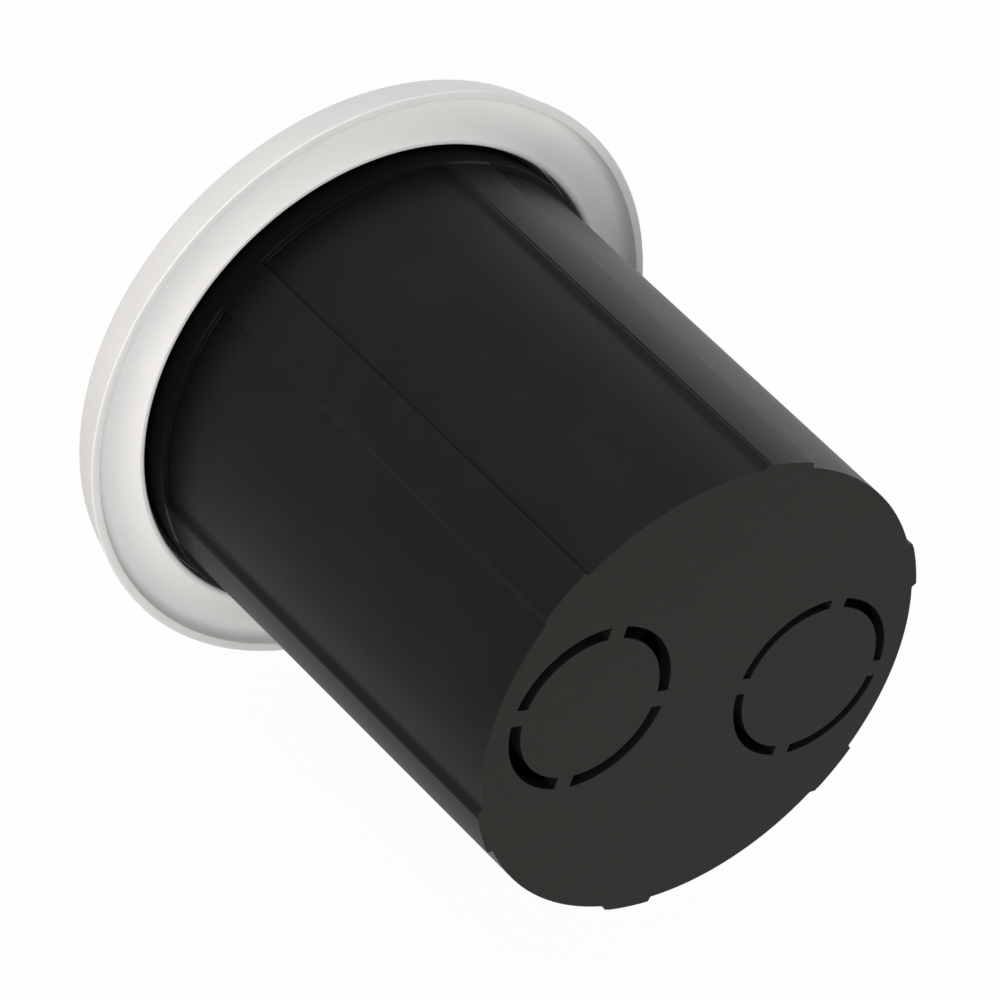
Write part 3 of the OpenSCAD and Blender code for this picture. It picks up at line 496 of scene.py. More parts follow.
def turned_piece(name, outline, steps=256):
    """Closed piece turned about the can's axis from an outline of [radius, depth] points."""
    bpy.ops.object.select_all(action="DESELECT")
    bpy.ops.mesh.primitive_plane_add(size=1 * mm)
    piece = bpy.context.object
    piece.name = name
    bpy.ops.object.mode_set(mode="EDIT")
    bpy.ops.mesh.select_mode(type="VERT")
    bpy.ops.mesh.select_all(action="SELECT")
    bpy.ops.mesh.merge(type="CENTER")
    bpy.ops.transform.translate(value=(outline[0][0], outline[0][1], 0))
    # An outline that starts and ends on the axis stays open there
    on_axis = outline[0][0] == 0 and outline[-1][0] == 0
    for (r0, y0), (r1, y1) in zip(outline, outline[1:] + ([] if on_axis else outline[:1])):
        bpy.ops.mesh.extrude_vertices_move(TRANSFORM_OT_translate={"value": (r1 - r0, y1 - y0, 0)})
    bpy.ops.mesh.select_all(action="SELECT")
    bpy.ops.mesh.spin(steps=steps, angle=2 * pi, center=(0, 0, 0), axis=(0, 1, 0))
    bpy.ops.mesh.select_all(action="SELECT")
    bpy.ops.mesh.remove_doubles(threshold=0.002 * mm)
    bpy.ops.mesh.dissolve_degenerate(threshold=0.001 * mm)
    bpy.ops.mesh.select_all(action="SELECT")
    bpy.ops.mesh.normals_make_consistent(inside=False)
    bpy.ops.object.mode_set(mode="OBJECT")
    bpy.ops.object.shade_smooth_by_angle(angle=radians(35))
    return piece


def ring_places(radius, angles):
    """Places on a circle about the can's axis, turned from +X towards +Z."""
    return [Matrix.Rotation(radians(-angle), 4, "Y") @ Matrix.Translation((radius, 0, 0))
            for angle in angles]


def combine(piece, solid, operation):
    """Cuts a piece with a solid, or joins the solid on, and smooths the result."""
    change = piece.modifiers.new("change", "BOOLEAN")
    change.operation = operation
    change.solver = "EXACT"
    change.object = solid
    bpy.ops.object.select_all(action="DESELECT")
    bpy.context.view_layer.objects.active = piece
    piece.select_set(True)
    bpy.ops.object.modifier_apply(modifier="change")
    bpy.data.objects.remove(solid)
    bpy.ops.object.shade_smooth_by_angle(angle=radians(35))


def spread(piece, places):
    """Copies a piece to each place and joins the copies."""
    copies = []
    for place in places:
        bpy.ops.object.select_all(action="DESELECT")
        piece.select_set(True)
        bpy.context.view_layer.objects.active = piece
        bpy.ops.object.duplicate()
        copy = bpy.context.object
        copy.matrix_world = place @ copy.matrix_world
        bpy.ops.object.transform_apply(location=True, rotation=True, scale=True)
        copies.append(copy)
    bpy.data.objects.remove(piece)
    bpy.ops.object.select_all(action="DESELECT")
    for copy in copies:
        copy.select_set(True)
    bpy.context.view_layer.objects.active = copies[0]
    bpy.ops.object.join()
    return bpy.context.object


def drill(piece, radius, places, y0, y1, sides=48):
    """Drills holes along the can's axis from one depth to another."""
    for place in places:
        bpy.ops.object.select_all(action="DESELECT")
        bpy.ops.mesh.primitive_cylinder_add(vertices=sides, radius=radius, depth=y1 - y0,
                                            location=(0, (y0 + y1) / 2, 0),
                                            rotation=(radians(90), 0, 0))
        bit = bpy.context.object
        bit.matrix_world = place @ bit.matrix_world
        bpy.ops.object.transform_apply(location=True, rotation=True, scale=True)
        combine(piece, bit, "DIFFERENCE")


# Bezel: cast aluminium, white powder coat. Its hollow back, which the wall hides, has a
# narrow land that meets the wall, a cove, and a thin lip round the mouth of the can. The
# spigot behind the groove enters the can.
cove_start = Vector((46.0, -0.95))
cove_end = Vector((39.6, -0.03))
cove_w = cove_start.x - cove_end.x
cove_depth = 3.4
cove_steps = 32
pull = (cove_start, cove_start + Vector((-0.05 * cove_w, -cove_depth)),
        cove_start + Vector((-0.6 * cove_w, -0.35 * cove_depth)), cove_end)
cove = []
for i in range(1, cove_steps + 1):
    t = i / cove_steps
    cove.append(tuple(pull[0] * (1 - t) ** 3 + pull[1] * 3 * (1 - t) ** 2 * t
                      + pull[2] * 3 * (1 - t) * t ** 2 + pull[3] * t ** 3))
bezel_outline = rounded([
    (46.0, -6.5, 1.2), (47.5, 0, 0.2), (46.1, 0, 0.15), (46.0, -0.95)] + cove + [
    (38.755, -0.05, 0.55), (38.755, -3.6), (35.169, -3.6, 0.15), (35.169, 2.95, 0.1),
    (33.619, 2.95), (33.619, 5.05), (35.169, 5.05, 0.1), (35.169, 8, 0.2), (34.78, 8.4, 0.1),
    (32.269, 8.4, 0.15), (32.269, -2, 0.3), (23, -2, 0.15), (23, -6), (20, -6, 0.2),
    (20, -7.6, 0.2), (30.4, -7.6, 0.5)])
hood_screw_places = ring_places(26 * mm, (-18, 198))
flange_places = ring_places(28.585 * mm, (90, 210, 330))
bezel = turned_piece("bezel_casting", [(r * mm, y * mm) for r, y in bezel_outline], steps=384)
drill(bezel, 1.55 * mm, flange_places, -5.25 * mm, -1 * mm)
drill(bezel, 1.15 * mm, hood_screw_places, -8.6 * mm, -4.95 * mm)

powder_white = finish("powder_white", roughness=0.6, specular=0.28)
peel = add_noise(powder_white, 0.55 * mm, detail=4)
tone = add_noise(powder_white, 14 * mm)
add_colours(powder_white, tone, [(0.3, (0.80, 0.80, 0.795)), (0.7, (0.83, 0.83, 0.825))])
rough_by(powder_white, add_range(powder_white, peel, 0.52, 0.66))
add_bump(powder_white, peel, 0.055 * mm)
coat(bezel, powder_white)
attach(bezel, "insert")
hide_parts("bezel")

# Eyelid hood: white cast cap screwed to the bezel's face. Half a shallow dome on a flat foot
# ring turns the light down on the step, and its mouth is raked a little.
foot_y = -9.0
dome_h = 12.94
dome_r, dome_in_r = 29.5865, 27.7865
dome_y = foot_y - dome_h + dome_r
rake = radians(5)
arc_steps = 28
dome_arc = [radians(55.9) * i / arc_steps for i in range(arc_steps + 1)]
dome_in_arc = [radians(53.35) * i / arc_steps for i in range(arc_steps, -1, -1)]
dome_outline = ([(dome_r * sin(a), dome_y - dome_r * cos(a)) for a in dome_arc]
                + [(24.5, foot_y + 0.7), (22.29, foot_y + 0.7)]
                + [(dome_in_r * sin(a), dome_y - dome_in_r * cos(a)) for a in dome_in_arc])
dome = turned_piece("hood_dome", [(r * mm, y * mm) for r, y in dome_outline], steps=192)
bpy.ops.object.mode_set(mode="EDIT")
bpy.ops.mesh.select_all(action="SELECT")
bpy.ops.mesh.bisect(plane_co=(0, foot_y * mm, 0), plane_no=(0, sin(rake), cos(rake)),
                    use_fill=True, clear_inner=True)
bpy.ops.mesh.select_all(action="SELECT")
bpy.ops.mesh.normals_make_consistent(inside=False)
bpy.ops.object.mode_set(mode="OBJECT")
hood_outline = rounded([(20, -7.6, 0.1), (20, foot_y, 0.2), (28.3, foot_y, 0.4), (29, -8.3, 0.4),
                        (29, -7.6, 0.1)])
hood = turned_piece("hood_casting", [(r * mm, y * mm) for r, y in hood_outline], steps=192)
combine(hood, dome, "UNION")
for place in hood_screw_places:
    sink = turned_piece("countersink", [(0, -9.6 * mm), (2.05 * mm, -9.6 * mm), (2.05 * mm, -9 * mm),
                                        (1.15 * mm, -8.1 * mm), (1.15 * mm, -7 * mm), (0, -7 * mm)],
                        steps=48)
    sink.matrix_world = place
    combine(hood, sink, "DIFFERENCE")
coat(hood, powder_white)
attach(hood, "insert")
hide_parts("eyelid_hood")

# Screws: stainless steel, turned and rolled, with a hexagonal socket. Two countersunk ones
# hold the hood, three pan heads the lamp housing and four small ones its rear cover.
screw_steel = finish("stainless_screws", metallic=1.0, roughness=0.3)
turning = add_noise(screw_steel, 0.5 * mm, stretch=(1, 6, 1))
add_colours(screw_steel, turning, [(0.3, (0.55, 0.55, 0.56)), (0.7, (0.68, 0.68, 0.69))])
rough_by(screw_steel, add_range(screw_steel, turning, 0.22, 0.4))
add_bump(screw_steel, turning, 0.006 * mm)


def screw_set(name, outline, places, socket_r, socket_y0, socket_y1):
    """Turns one screw, cuts its socket and copies it to its places."""
    screw = turned_piece(name, [(r * mm, y * mm) for r, y in rounded(outline, 3)], steps=48)
    drill(screw, socket_r * mm, [Matrix.Identity(4)], socket_y0 * mm, socket_y1 * mm, 6)
    screws = spread(screw, places)
    coat(screws, screw_steel)
    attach(screws, "insert")
    return screws


def pan_outline(seat, shank_r, length, head_r, head_h):
    """Outline of a pan-head screw whose head stands behind its seat."""
    return [(0, seat - length), (shank_r, seat - length, 0.3), (shank_r, seat, 0.1), (head_r, seat, 0.12),
            (head_r, seat + 0.6 * head_h, 0.35 * head_h), (0.7 * head_r, seat + head_h, 0.4 * head_h),
            (0, seat + head_h)]


hood_screws = screw_set("hood_screw", [
    (0, -8.97), (1.95, -8.97, 0.04), (1.1, -8.1, 0.1), (1.1, -5, 0.3), (0, -5)],
    hood_screw_places, 0.825, -9.4, -8.2)
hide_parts("hood_screws")
housing_screws = screw_set("housing_screw", pan_outline(2, 1.5, 7.2, 2.7, 2), flange_places, 1.125, 3, 4.5)
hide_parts("housing_screws")
cover_places = ring_places(20.8 * mm, (45, 135, 225, 315))
cover_screws = screw_set("cover_screw", pan_outline(47.1, 1.1, 7, 2, 1.4), cover_places, 0.825, 47.8, 49)
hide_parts("rear_cover_screws")

# Lens: a disc of toughened glass, etched on its outer face, between two silicone rings. The
# light comes through it evenly.
lens = turned_piece("lens_glass", [(r * mm, y * mm) for r, y in rounded([
    (0, -5.4), (22.1, -5.4, 0.1), (22.5, -5.0, 0.1), (22.5, -1.8, 0.1), (22.1, -1.4, 0.1), (0, -1.4)])],
    steps=192)
frosted = finish("frosted_glass", roughness=0.4, specular=0.5)
frosted.node_tree.nodes["Principled BSDF"].inputs["Transmission Weight"].default_value = 0.85
frosted.node_tree.nodes["Principled BSDF"].inputs["IOR"].default_value = 1.5
etch = add_noise(frosted, 0.15 * mm, detail=3)
add_colours(frosted, etch, [(0.3, (0.90, 0.94, 0.93)), (0.7, (0.95, 0.98, 0.97))])
rough_by(frosted, add_range(frosted, etch, 0.34, 0.5))
add_bump(frosted, etch, 0.01 * mm)
coat(lens, frosted)
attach(lens, "insert")
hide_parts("lens")

# Lamp housing: die-cast aluminium, black anodised. A flange and a lamp chamber in front, a
# web, a driver chamber behind, nine cooling fins a side and two pairs of ears for the clips.
housing_outline = rounded([
    (0, 16), (20, 16, 0.5), (20, -0.8, 0.2), (23, -0.8), (23, -2, 0.1), (31.969, -2, 0.2), (31.969, 2, 0.4),
    (25.2, 2, 0.8), (25.2, 44, 0.2), (22.7, 44, 0.2), (22.7, 19, 0.5), (0, 19)])
housing = turned_piece("housing_casting", [(r * mm, y * mm) for r, y in housing_outline], steps=192)

bpy.ops.object.select_all(action="DESELECT")
bpy.ops.mesh.primitive_cube_add(size=1, location=(26.05 * mm, 24.3 * mm, 0))
fin = bpy.context.object
fin.name = "fin"
fin.dimensions = (4.3 * mm, 36.6 * mm, 1.4 * mm)
bpy.ops.object.transform_apply(location=True, rotation=True, scale=True)
bpy.ops.object.mode_set(mode="EDIT")
bpy.ops.mesh.select_mode(type="EDGE")
bpy.ops.mesh.select_all(action="DESELECT")
bm = bmesh.from_edit_mesh(fin.data)
for edge in bm.edges:
    edge.select_set(all(v.co.x > 28 * mm for v in edge.verts))
bmesh.update_edit_mesh(fin.data)
bpy.ops.mesh.bevel(offset=0.4 * mm, segments=4)
bpy.ops.object.mode_set(mode="OBJECT")
fins = spread(fin, ring_places(0, [side + 14 * i for side in (90, 270) for i in range(-4, 5)]))
combine(housing, fins, "UNION")

pivot_x, pivot_y = 28.4 * mm, 14 * mm
pin_hole_r = 1.06 * mm
ear_t = 2 * mm
for side in (1, -1):
    for ear_z in (-6.2 * mm, 4.2 * mm):
        bpy.ops.object.select_all(action="DESELECT")
        bpy.ops.mesh.primitive_circle_add(vertices=64, radius=2.6 * mm, fill_type="NGON",
                                          location=(side * pivot_x, pivot_y, ear_z))
        ear = bpy.context.object
        ear.name = "ear"
        bpy.ops.object.transform_apply(location=True, rotation=True, scale=True)
        bpy.ops.object.mode_set(mode="EDIT")
        bpy.ops.mesh.select_mode(type="VERT")
        bpy.ops.mesh.select_all(action="DESELECT")
        bm = bmesh.from_edit_mesh(ear.data)
        for point in bm.verts:
            point.select_set(abs(point.co.x) < pivot_x - 0.1 * mm)
        bmesh.update_edit_mesh(ear.data)
        bpy.ops.transform.resize(value=(0, 1, 1), center_override=(side * 23.9 * mm, pivot_y, ear_z))
        bpy.ops.mesh.select_all(action="SELECT")
        bpy.ops.mesh.extrude_region_move(TRANSFORM_OT_translate={"value": (0, 0, ear_t)})
        bpy.ops.mesh.select_all(action="SELECT")
        bpy.ops.mesh.remove_doubles(threshold=0.001 * mm)
        bpy.ops.mesh.dissolve_degenerate(threshold=0.001 * mm)
        bpy.ops.mesh.select_all(action="SELECT")
        bpy.ops.mesh.normals_make_consistent(inside=False)
        bpy.ops.object.mode_set(mode="OBJECT")
        combine(housing, ear, "UNION")
    bpy.ops.object.select_all(action="DESELECT")
    bpy.ops.mesh.primitive_cylinder_add(vertices=48, radius=pin_hole_r, depth=14 * mm,
                                        location=(side * pivot_x, pivot_y, 0))
    combine(housing, bpy.context.object, "DIFFERENCE")
for radius, angles, y0, y1 in ((17, (90, 210, 330), 17.5, 27), (20.8, (45, 135, 225, 315), 34, 43.9)):
    for place in ring_places(radius * mm, angles):
        bpy.ops.object.select_all(action="DESELECT")
        bpy.ops.mesh.primitive_cylinder_add(vertices=48, radius=2.6 * mm, depth=(y1 - y0) * mm,
                                            location=(0, (y0 + y1) / 2 * mm, 0),
                                            rotation=(radians(90), 0, 0))
        post = bpy.context.object
        post.matrix_world = place @ post.matrix_world
        bpy.ops.object.transform_apply(location=True, rotation=True, scale=True)
        combine(housing, post, "UNION")
drill(housing, 1.55 * mm, flange_places, -3 * mm, 3 * mm)

anodised = finish("anodised_casting", metallic=0.9, roughness=0.45)
cast = add_noise(anodised, 0.4 * mm, detail=4)
patches = add_noise(anodised, 11 * mm)
add_colours(anodised, patches, [(0.3, (0.040, 0.040, 0.044)), (0.7, (0.055, 0.055, 0.060))])
rough_by(anodised, add_range(anodised, cast, 0.36, 0.52))
add_bump(anodised, cast, 0.03 * mm)
coat(housing, anodised)
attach(housing, "insert")
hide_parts("lamp_housing")

# Rear cover: anodised aluminium plate that closes the driver chamber over a gasket, with
# the hole for the cable gland in its middle.
cover = turned_piece("cover_plate", [(r * mm, y * mm) for r, y in rounded([
    (6.05, 44.6), (25.2, 44.6, 0.2), (25.2, 47.1, 0.7), (6.05, 47.1, 0.2)])], steps=192)
drill(cover, 1.15 * mm, cover_places, 44 * mm, 48 * mm)
coat(cover, anodised)
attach(cover, "insert")
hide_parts("rear_cover")

# Cable gland: moulded black nylon. The body's hexagon seats on the cover, and the domed nut
# presses the rubber seal round the cable; the cable itself is left out.
nylon = finish("gland_nylon_black", roughness=0.5, specular=0.35)
moulding = add_noise(nylon, 0.3 * mm, detail=3)
shade = add_noise(nylon, 5 * mm)
add_colours(nylon, shade, [(0.3, (0.018, 0.018, 0.018)), (0.7, (0.026, 0.026, 0.026))])
rough_by(nylon, add_range(nylon, moulding, 0.42, 0.6))
add_bump(nylon, moulding, 0.015 * mm)


def hex_piece(name, outline, radius, y0, y1):
    """Turned piece cut to a hexagon with a corner at +X."""
    piece = turned_piece(name, [(r * mm, y * mm) for r, y in rounded(outline)], steps=96)
    bpy.ops.object.select_all(action="DESELECT")
    bpy.ops.mesh.primitive_cylinder_add(vertices=6, radius=radius * mm, depth=(y1 - y0) * mm,
                                        location=(0, (y0 + y1) / 2 * mm, 0),
                                        rotation=(radians(90), radians(30), 0))
    hexagon = bpy.context.object
    combine(piece, hexagon, "INTERSECT")
    coat(piece, nylon)
    return piece


hexagon_r = 8.64
gland = hex_piece("gland_hexagon", [
    (5.5, 47.1, 0.1), (8.66, 47.1, 0.3), (8.66, 52.1, 0.5), (5.5, 52.1, 0.1)], hexagon_r, 46, 53)
barrel = turned_piece("gland_barrel", [(r * mm, y * mm) for r, y in rounded([
    (4.6, 41.6, 0.2), (6, 41.6, 0.4), (6, 57.1, 0.4), (4.6, 57.1, 0.2)])], steps=96)
combine(gland, barrel, "UNION")
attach(gland, "insert")
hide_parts("gland_body")
gland_nut = hex_piece("gland_domed_nut", [
    (6.05, 52.25, 0.1), (8.66, 52.25, 0.4), (8.66, 58.92, 0.5), (7.5, 58.92, 0.1), (7.42, 60.2, 1.2),
    (6.1, 62.25, 0.5), (3.95, 62.25, 0.3), (3.95, 60.65, 0.1), (6.05, 60.65, 0.1)],
    hexagon_r, 52, 63)
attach(gland_nut, "insert")
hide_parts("gland_nut")

# Retaining clips: sprung stainless strip. Each arm leans out from its hinge to a rounded toe
# that grips the can's wall, then hooks back; two knuckle tabs carry it on the pin.
clip_w, clip_t = 8 * mm, 0.8 * mm
arm_x = 2.575 * mm
toe = Vector((4.6136 * mm, 28 * mm))
hook_end = toe + Vector((-0.5, 0.866)) * 2.2 * mm
clip_steel = finish("spring_steel", metallic=1.0, roughness=0.3)
rolled = add_noise(clip_steel, 0.6 * mm, stretch=(1, 0.08, 1))
add_colours(clip_steel, rolled, [(0.3, (0.52, 0.52, 0.54)), (0.7, (0.64, 0.64, 0.66))])
rough_by(clip_steel, add_range(clip_steel, rolled, 0.24, 0.4))
add_bump(clip_steel, rolled, 0.008 * mm)


def clip_piece(name):
    """One clip in a frame at its hinge, with its arm along +Y."""
    arm = (toe - Vector((arm_x, 0))).normalized()
    hook = (hook_end - toe).normalized()
    # The toe is a soft bend between the arm and the hook
    bend_start, bend_end = toe - arm * 0.5 * mm, toe + hook * 0.6 * mm
    bend_pull = toe + Vector((0.5 * mm, 0))
    centre_line = [Vector((arm_x, 0)), Vector((arm_x, 0)) + arm * 2.6 * mm, bend_start]
    for i in range(1, 8):
        t = i / 8
        centre_line.append(bend_start * (1 - t) ** 2 + bend_pull * 2 * t * (1 - t) + bend_end * t ** 2)
    centre_line += [bend_end, hook_end]
    bpy.ops.object.select_all(action="DESELECT")
    bpy.ops.mesh.primitive_plane_add(size=1 * mm)
    strip = bpy.context.object
    strip.name = name
    bpy.ops.object.mode_set(mode="EDIT")
    bpy.ops.mesh.select_mode(type="VERT")
    bpy.ops.mesh.select_all(action="SELECT")
    bpy.ops.mesh.merge(type="CENTER")
    bpy.ops.transform.translate(value=(centre_line[0].x, centre_line[0].y, -clip_w / 2))
    for here, after in zip(centre_line, centre_line[1:]):
        step = after - here
        bpy.ops.mesh.extrude_vertices_move(TRANSFORM_OT_translate={"value": (step.x, step.y, 0)})
    bpy.ops.mesh.select_all(action="SELECT")
    bpy.ops.mesh.extrude_region_move(TRANSFORM_OT_translate={"value": (0, 0, clip_w)})
    bpy.ops.object.mode_set(mode="OBJECT")
    sheet = strip.modifiers.new("sheet", "SOLIDIFY")
    sheet.thickness = clip_t
    sheet.offset = 0
    bpy.ops.object.modifier_apply(modifier="sheet")
    bpy.ops.object.select_all(action="DESELECT")
    bpy.ops.mesh.primitive_cube_add(size=1, location=(arm_x, 0.6 * mm, 0))
    window = bpy.context.object
    window.dimensions = (4 * mm, 4 * mm, 5.2 * mm)
    bpy.ops.object.transform_apply(location=True, rotation=True, scale=True)
    combine(strip, window, "DIFFERENCE")
    for tab_z in (-4 * mm, 2.6 * mm):
        bpy.ops.object.select_all(action="DESELECT")
        bpy.ops.mesh.primitive_circle_add(vertices=48, radius=2.4 * mm, fill_type="NGON",
                                          location=(0, 0, tab_z))
        tab = bpy.context.object
        bpy.ops.object.transform_apply(location=True, rotation=True, scale=True)
        bpy.ops.object.mode_set(mode="EDIT")
        bpy.ops.mesh.select_mode(type="VERT")
        bpy.ops.mesh.select_all(action="DESELECT")
        bm = bmesh.from_edit_mesh(tab.data)
        for point in bm.verts:
            point.select_set(point.co.x > 0.8 * mm and point.co.y > -0.3 * mm)
        bmesh.update_edit_mesh(tab.data)
        bpy.ops.transform.translate(value=(0.5 * mm, 0.9 * mm, 0))
        bpy.ops.mesh.select_all(action="SELECT")
        bpy.ops.mesh.extrude_region_move(TRANSFORM_OT_translate={"value": (0, 0, 1.4 * mm)})
        bpy.ops.mesh.select_all(action="SELECT")
        bpy.ops.mesh.normals_make_consistent(inside=False)
        bpy.ops.object.mode_set(mode="OBJECT")
        combine(strip, tab, "UNION")
    bpy.ops.object.select_all(action="DESELECT")
    bpy.ops.mesh.primitive_cylinder_add(vertices=48, radius=pin_hole_r, depth=10 * mm, location=(0, 0, 0))
    combine(strip, bpy.context.object, "DIFFERENCE")
    edges = strip.modifiers.new("deburred", "BEVEL")
    edges.width = 0.12 * mm
    edges.segments = 2
    edges.limit_method = "ANGLE"
    edges.angle_limit = radians(50)
    bpy.context.view_layer.objects.active = strip
    bpy.ops.object.modifier_apply(modifier="deburred")
    return strip


# Torsion springs: hard-drawn steel wire wound round each hinge pin. The foot bears on the
# housing and the leg on the arm, which it pushes out.
def spring_piece(name):
    """One spring in a frame at its hinge."""
    lean = Vector((2.0386, 28)).normalized()
    bpy.ops.object.select_all(action="DESELECT")
    bpy.ops.curve.primitive_nurbs_path_add()
    wire = bpy.context.object
    wire.name = name
    wire.data.splines.clear()
    coil_r, coil_len, turn_count, steps = 1.75, 3.4, 2.5, 80
    foot_len, leg_len = 2.6, 12
    coil = []
    for i in range(steps + 1):
        angle = pi + 2 * pi * turn_count * i / steps
        coil.append((coil_r * cos(angle), coil_r * sin(angle), coil_len * (i / steps - 0.5)))
    start = (coil[0][0], coil[0][1] + foot_len, coil[0][2])
    end = (coil[-1][0] + leg_len * lean.x, coil[-1][1] + leg_len * lean.y, coil[-1][2])
    line = wire.data.splines.new("POLY")
    line.points.add(len(coil) + 1)
    for point, place in zip(line.points, [start] + coil + [end]):
        point.co = (place[0] * mm, place[1] * mm, place[2] * mm, 1)
    wire.data.dimensions = "3D"
    wire.data.bevel_depth = 0.35 * mm
    wire.data.bevel_resolution = 4
    wire.data.use_fill_caps = True
    bpy.ops.object.convert(target="MESH")
    wire = bpy.context.object
    bpy.ops.object.mode_set(mode="EDIT")
    bpy.ops.mesh.select_all(action="SELECT")
    bpy.ops.mesh.remove_doubles(threshold=0.001 * mm)
    bpy.ops.mesh.normals_make_consistent(inside=False)
    bpy.ops.object.mode_set(mode="OBJECT")
    return wire


for side, hand in ((1, "right"), (-1, "left")):
    for piece, node in ((clip_piece("clip_strip_" + hand), "clip_" + hand),
                        (spring_piece("spring_wire_" + hand), "clip_spring_" + hand)):
        piece.matrix_world = Matrix.Diagonal((side, 1, 1, 1)) @ Matrix.Translation((pivot_x, pivot_y, 0))
        bpy.ops.object.select_all(action="DESELECT")
        piece.select_set(True)
        bpy.context.view_layer.objects.active = piece
        bpy.ops.object.transform_apply(location=True, rotation=True, scale=True)
        bpy.ops.object.mode_set(mode="EDIT")
        bpy.ops.mesh.select_all(action="SELECT")
        bpy.ops.mesh.normals_make_consistent(inside=False)
        bpy.ops.object.mode_set(mode="OBJECT")
        bpy.ops.object.shade_smooth_by_angle(angle=radians(40))
        coat(piece, clip_steel)
        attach(piece, hand + "_clip")
        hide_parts(node)

# Hinge pins: turned steel, a head at one end. They lie in the ears and carry the clips.
pin_steel = finish("hinge_pins", metallic=1.0, roughness=0.28)
drawn = add_noise(pin_steel, 0.4 * mm, stretch=(1, 1, 0.1))
add_colours(pin_steel, drawn, [(0.3, (0.50, 0.50, 0.51)), (0.7, (0.62, 0.62, 0.63))])
rough_by(pin_steel, add_range(pin_steel, drawn, 0.22, 0.36))
add_bump(pin_steel, drawn, 0.004 * mm)
dress("clip_pins", pin_steel)

# Seals: black silicone rings and flat gaskets, matt, with a bloom of fine dust.
rubber = finish("silicone_black", roughness=0.7, specular=0.3)
bloom = add_noise(rubber, 0.8 * mm, detail=5)
add_colours(rubber, bloom, [(0.35, (0.010, 0.010, 0.010)), (0.75, (0.022, 0.022, 0.021))])
rough_by(rubber, add_range(rubber, bloom, 0.6, 0.82))
add_bump(rubber, bloom, 0.01 * mm)
for name in ("lens_gasket_front", "lens_gasket_rear", "housing_seal_ring", "spigot_seal_ring", "mouth_gasket",
             "rear_cover_gasket", "gland_seal"):
    dress(name, rubber)
dress("gland_locknut", nylon)

# Reflector: spun aluminium, bright inside, with the fine rings that the spinning leaves.
bright = finish("reflector_bright", metallic=1.0, roughness=0.1)
rings = add_noise(bright, 0.35 * mm, stretch=(0.2, 4, 0.2))
add_colours(bright, rings, [(0.3, (0.80, 0.81, 0.82)), (0.7, (0.90, 0.91, 0.92))])
rough_by(bright, add_range(bright, rings, 0.06, 0.16))
add_bump(bright, rings, 0.003 * mm)
dress("reflector", bright)

# LED board: aluminium core under white solder mask, with darker tracks showing through it;
# six emitters under yellow phosphor gel, three steel screws and a grey thermal pad.
board_white = finish("led_mask_white", roughness=0.35)
mask_noise = add_noise(board_white, 0.25 * mm)
lines = add_tracks(board_white, 2.4 * mm)
add_colours(board_white, lines, [(0.45, (0.80, 0.80, 0.78)), (0.55, (0.70, 0.70, 0.68))])
rough_by(board_white, add_range(board_white, mask_noise, 0.28, 0.42))
add_bump(board_white, lines, 0.03 * mm)
dress("led_board", board_white)
phosphor = finish("phosphor_gel", roughness=0.25)
speckle = add_noise(phosphor, 0.12 * mm, detail=5)
add_colours(phosphor, speckle, [(0.3, (0.80, 0.56, 0.08)), (0.7, (0.90, 0.70, 0.16))])
rough_by(phosphor, add_range(phosphor, speckle, 0.18, 0.35))
add_bump(phosphor, speckle, 0.01 * mm)
dress("led_emitters", phosphor)
dress("led_board_screws", screw_steel)
pad = finish("thermal_pad_grey", roughness=0.75)
fill = add_noise(pad, 0.3 * mm, detail=5)
add_colours(pad, fill, [(0.3, (0.34, 0.36, 0.39)), (0.7, (0.44, 0.46, 0.49))])
rough_by(pad, add_range(pad, fill, 0.65, 0.85))
add_bump(pad, fill, 0.02 * mm)
dress("thermal_pad", pad)

# LED leads: silicone-insulated wire, red on the +X side and black on the other.
insulation = finish("lead_insulation", roughness=0.4)
skin = add_noise(insulation, 0.3 * mm)
red_side = add_between(insulation, "X", 0, 1)
black = add_colours(insulation, skin, [(0.3, (0.014, 0.014, 0.014)), (0.7, (0.024, 0.024, 0.024))])
mix_colours(insulation, red_side, black, (0.38, 0.025, 0.015))
rough_by(insulation, add_range(insulation, skin, 0.34, 0.5))
add_bump(insulation, skin, 0.01 * mm)
dress("led_leads", insulation)

# Driver board: glass-fibre laminate under green solder mask, with raised copper tracks.
board_green = finish("driver_mask_green", roughness=0.3)
tracks = add_tracks(board_green, 1.8 * mm)
weave = add_noise(board_green, 0.2 * mm)
add_colours(board_green, tracks, [(0.45, (0.012, 0.13, 0.045)), (0.55, (0.03, 0.24, 0.09))])
rough_by(board_green, add_range(board_green, weave, 0.24, 0.4))
add_bump(board_green, tracks, 0.035 * mm)
dress("driver_board", board_green)
dress("driver_board_screws", screw_steel)

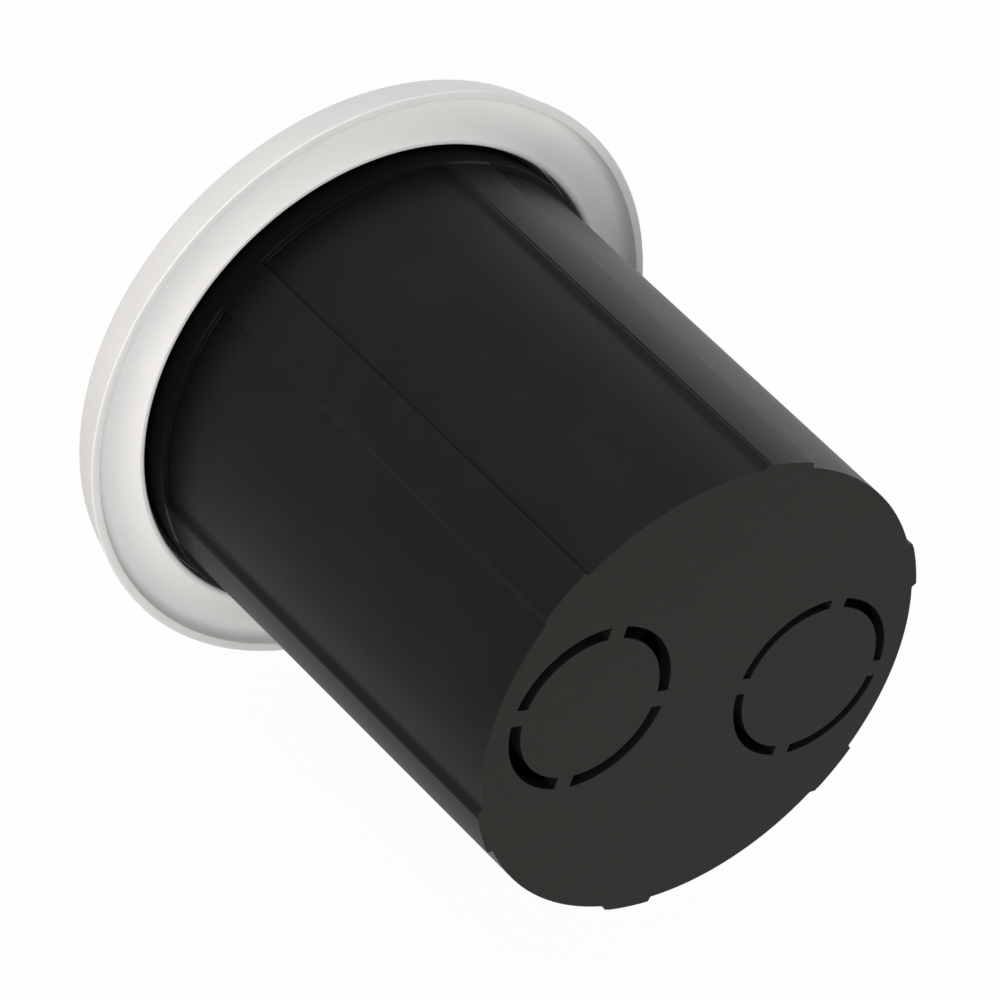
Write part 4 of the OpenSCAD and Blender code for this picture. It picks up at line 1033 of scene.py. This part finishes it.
# Transformer: grey-black ferrite core with a winding under yellow polyester tape.
ferrite = finish("ferrite_and_tape", roughness=0.6)
sinter = add_noise(ferrite, 0.25 * mm, detail=5)
core = add_colours(ferrite, sinter, [(0.3, (0.035, 0.033, 0.031)), (0.7, (0.060, 0.057, 0.053))])
taped = multiply(ferrite, add_between(ferrite, "X", -11.52 * mm, -4.48 * mm),
                 add_between(ferrite, "Y", 31.58 * mm, 35.62 * mm))
mix_colours(ferrite, taped, core, (0.68, 0.48, 0.07))
rough_by(ferrite, add_range(ferrite, sinter, 0.5, 0.72))
add_bump(ferrite, sinter, 0.02 * mm)
dress("driver_transformer", ferrite)

# Capacitors: aluminium cans in dark blue shrink sleeve, bare metal on their flat tops.
sleeve = finish("capacitor_sleeve", roughness=0.25, specular=0.5)
shrink = add_noise(sleeve, 1.2 * mm)
blue = add_colours(sleeve, shrink, [(0.3, (0.016, 0.028, 0.075)), (0.7, (0.024, 0.040, 0.105))])
mix_colours(sleeve, add_between(sleeve, "Y", 39.58 * mm, 41 * mm), blue, (0.62, 0.63, 0.64))
rough_by(sleeve, add_range(sleeve, shrink, 0.18, 0.34))
add_bump(sleeve, shrink, 0.02 * mm)
dress("driver_capacitors", sleeve)

# Choke: enamelled copper wire wound in layers between the two flanges of its drum core.
copper = finish("choke_winding", roughness=0.3, specular=0.5)
turns = add_rings(copper, 0.45 * mm)
add_colours(copper, turns, [(0.2, (0.24, 0.08, 0.025)), (0.8, (0.52, 0.20, 0.065))])
rough_by(copper, add_range(copper, add_noise(copper, 0.3 * mm), 0.22, 0.4))
add_bump(copper, turns, 0.06 * mm)
dress("driver_choke", copper)

# Terminal block: cream nylon moulding with two slotted brass screws.
cream = finish("terminal_cream", roughness=0.5)
mould = add_noise(cream, 0.25 * mm, detail=4)
add_colours(cream, mould, [(0.3, (0.70, 0.68, 0.60)), (0.7, (0.78, 0.76, 0.69))])
rough_by(cream, add_range(cream, mould, 0.42, 0.6))
add_bump(cream, mould, 0.015 * mm)
dress("terminal_block", cream)
brass = finish("terminal_brass", metallic=1.0, roughness=0.3)
plating = add_noise(brass, 0.3 * mm, stretch=(1, 1, 5))
add_colours(brass, plating, [(0.3, (0.62, 0.44, 0.17)), (0.7, (0.78, 0.59, 0.27))])
rough_by(brass, add_range(brass, plating, 0.22, 0.4))
add_bump(brass, plating, 0.005 * mm)
dress("terminal_screws", brass)
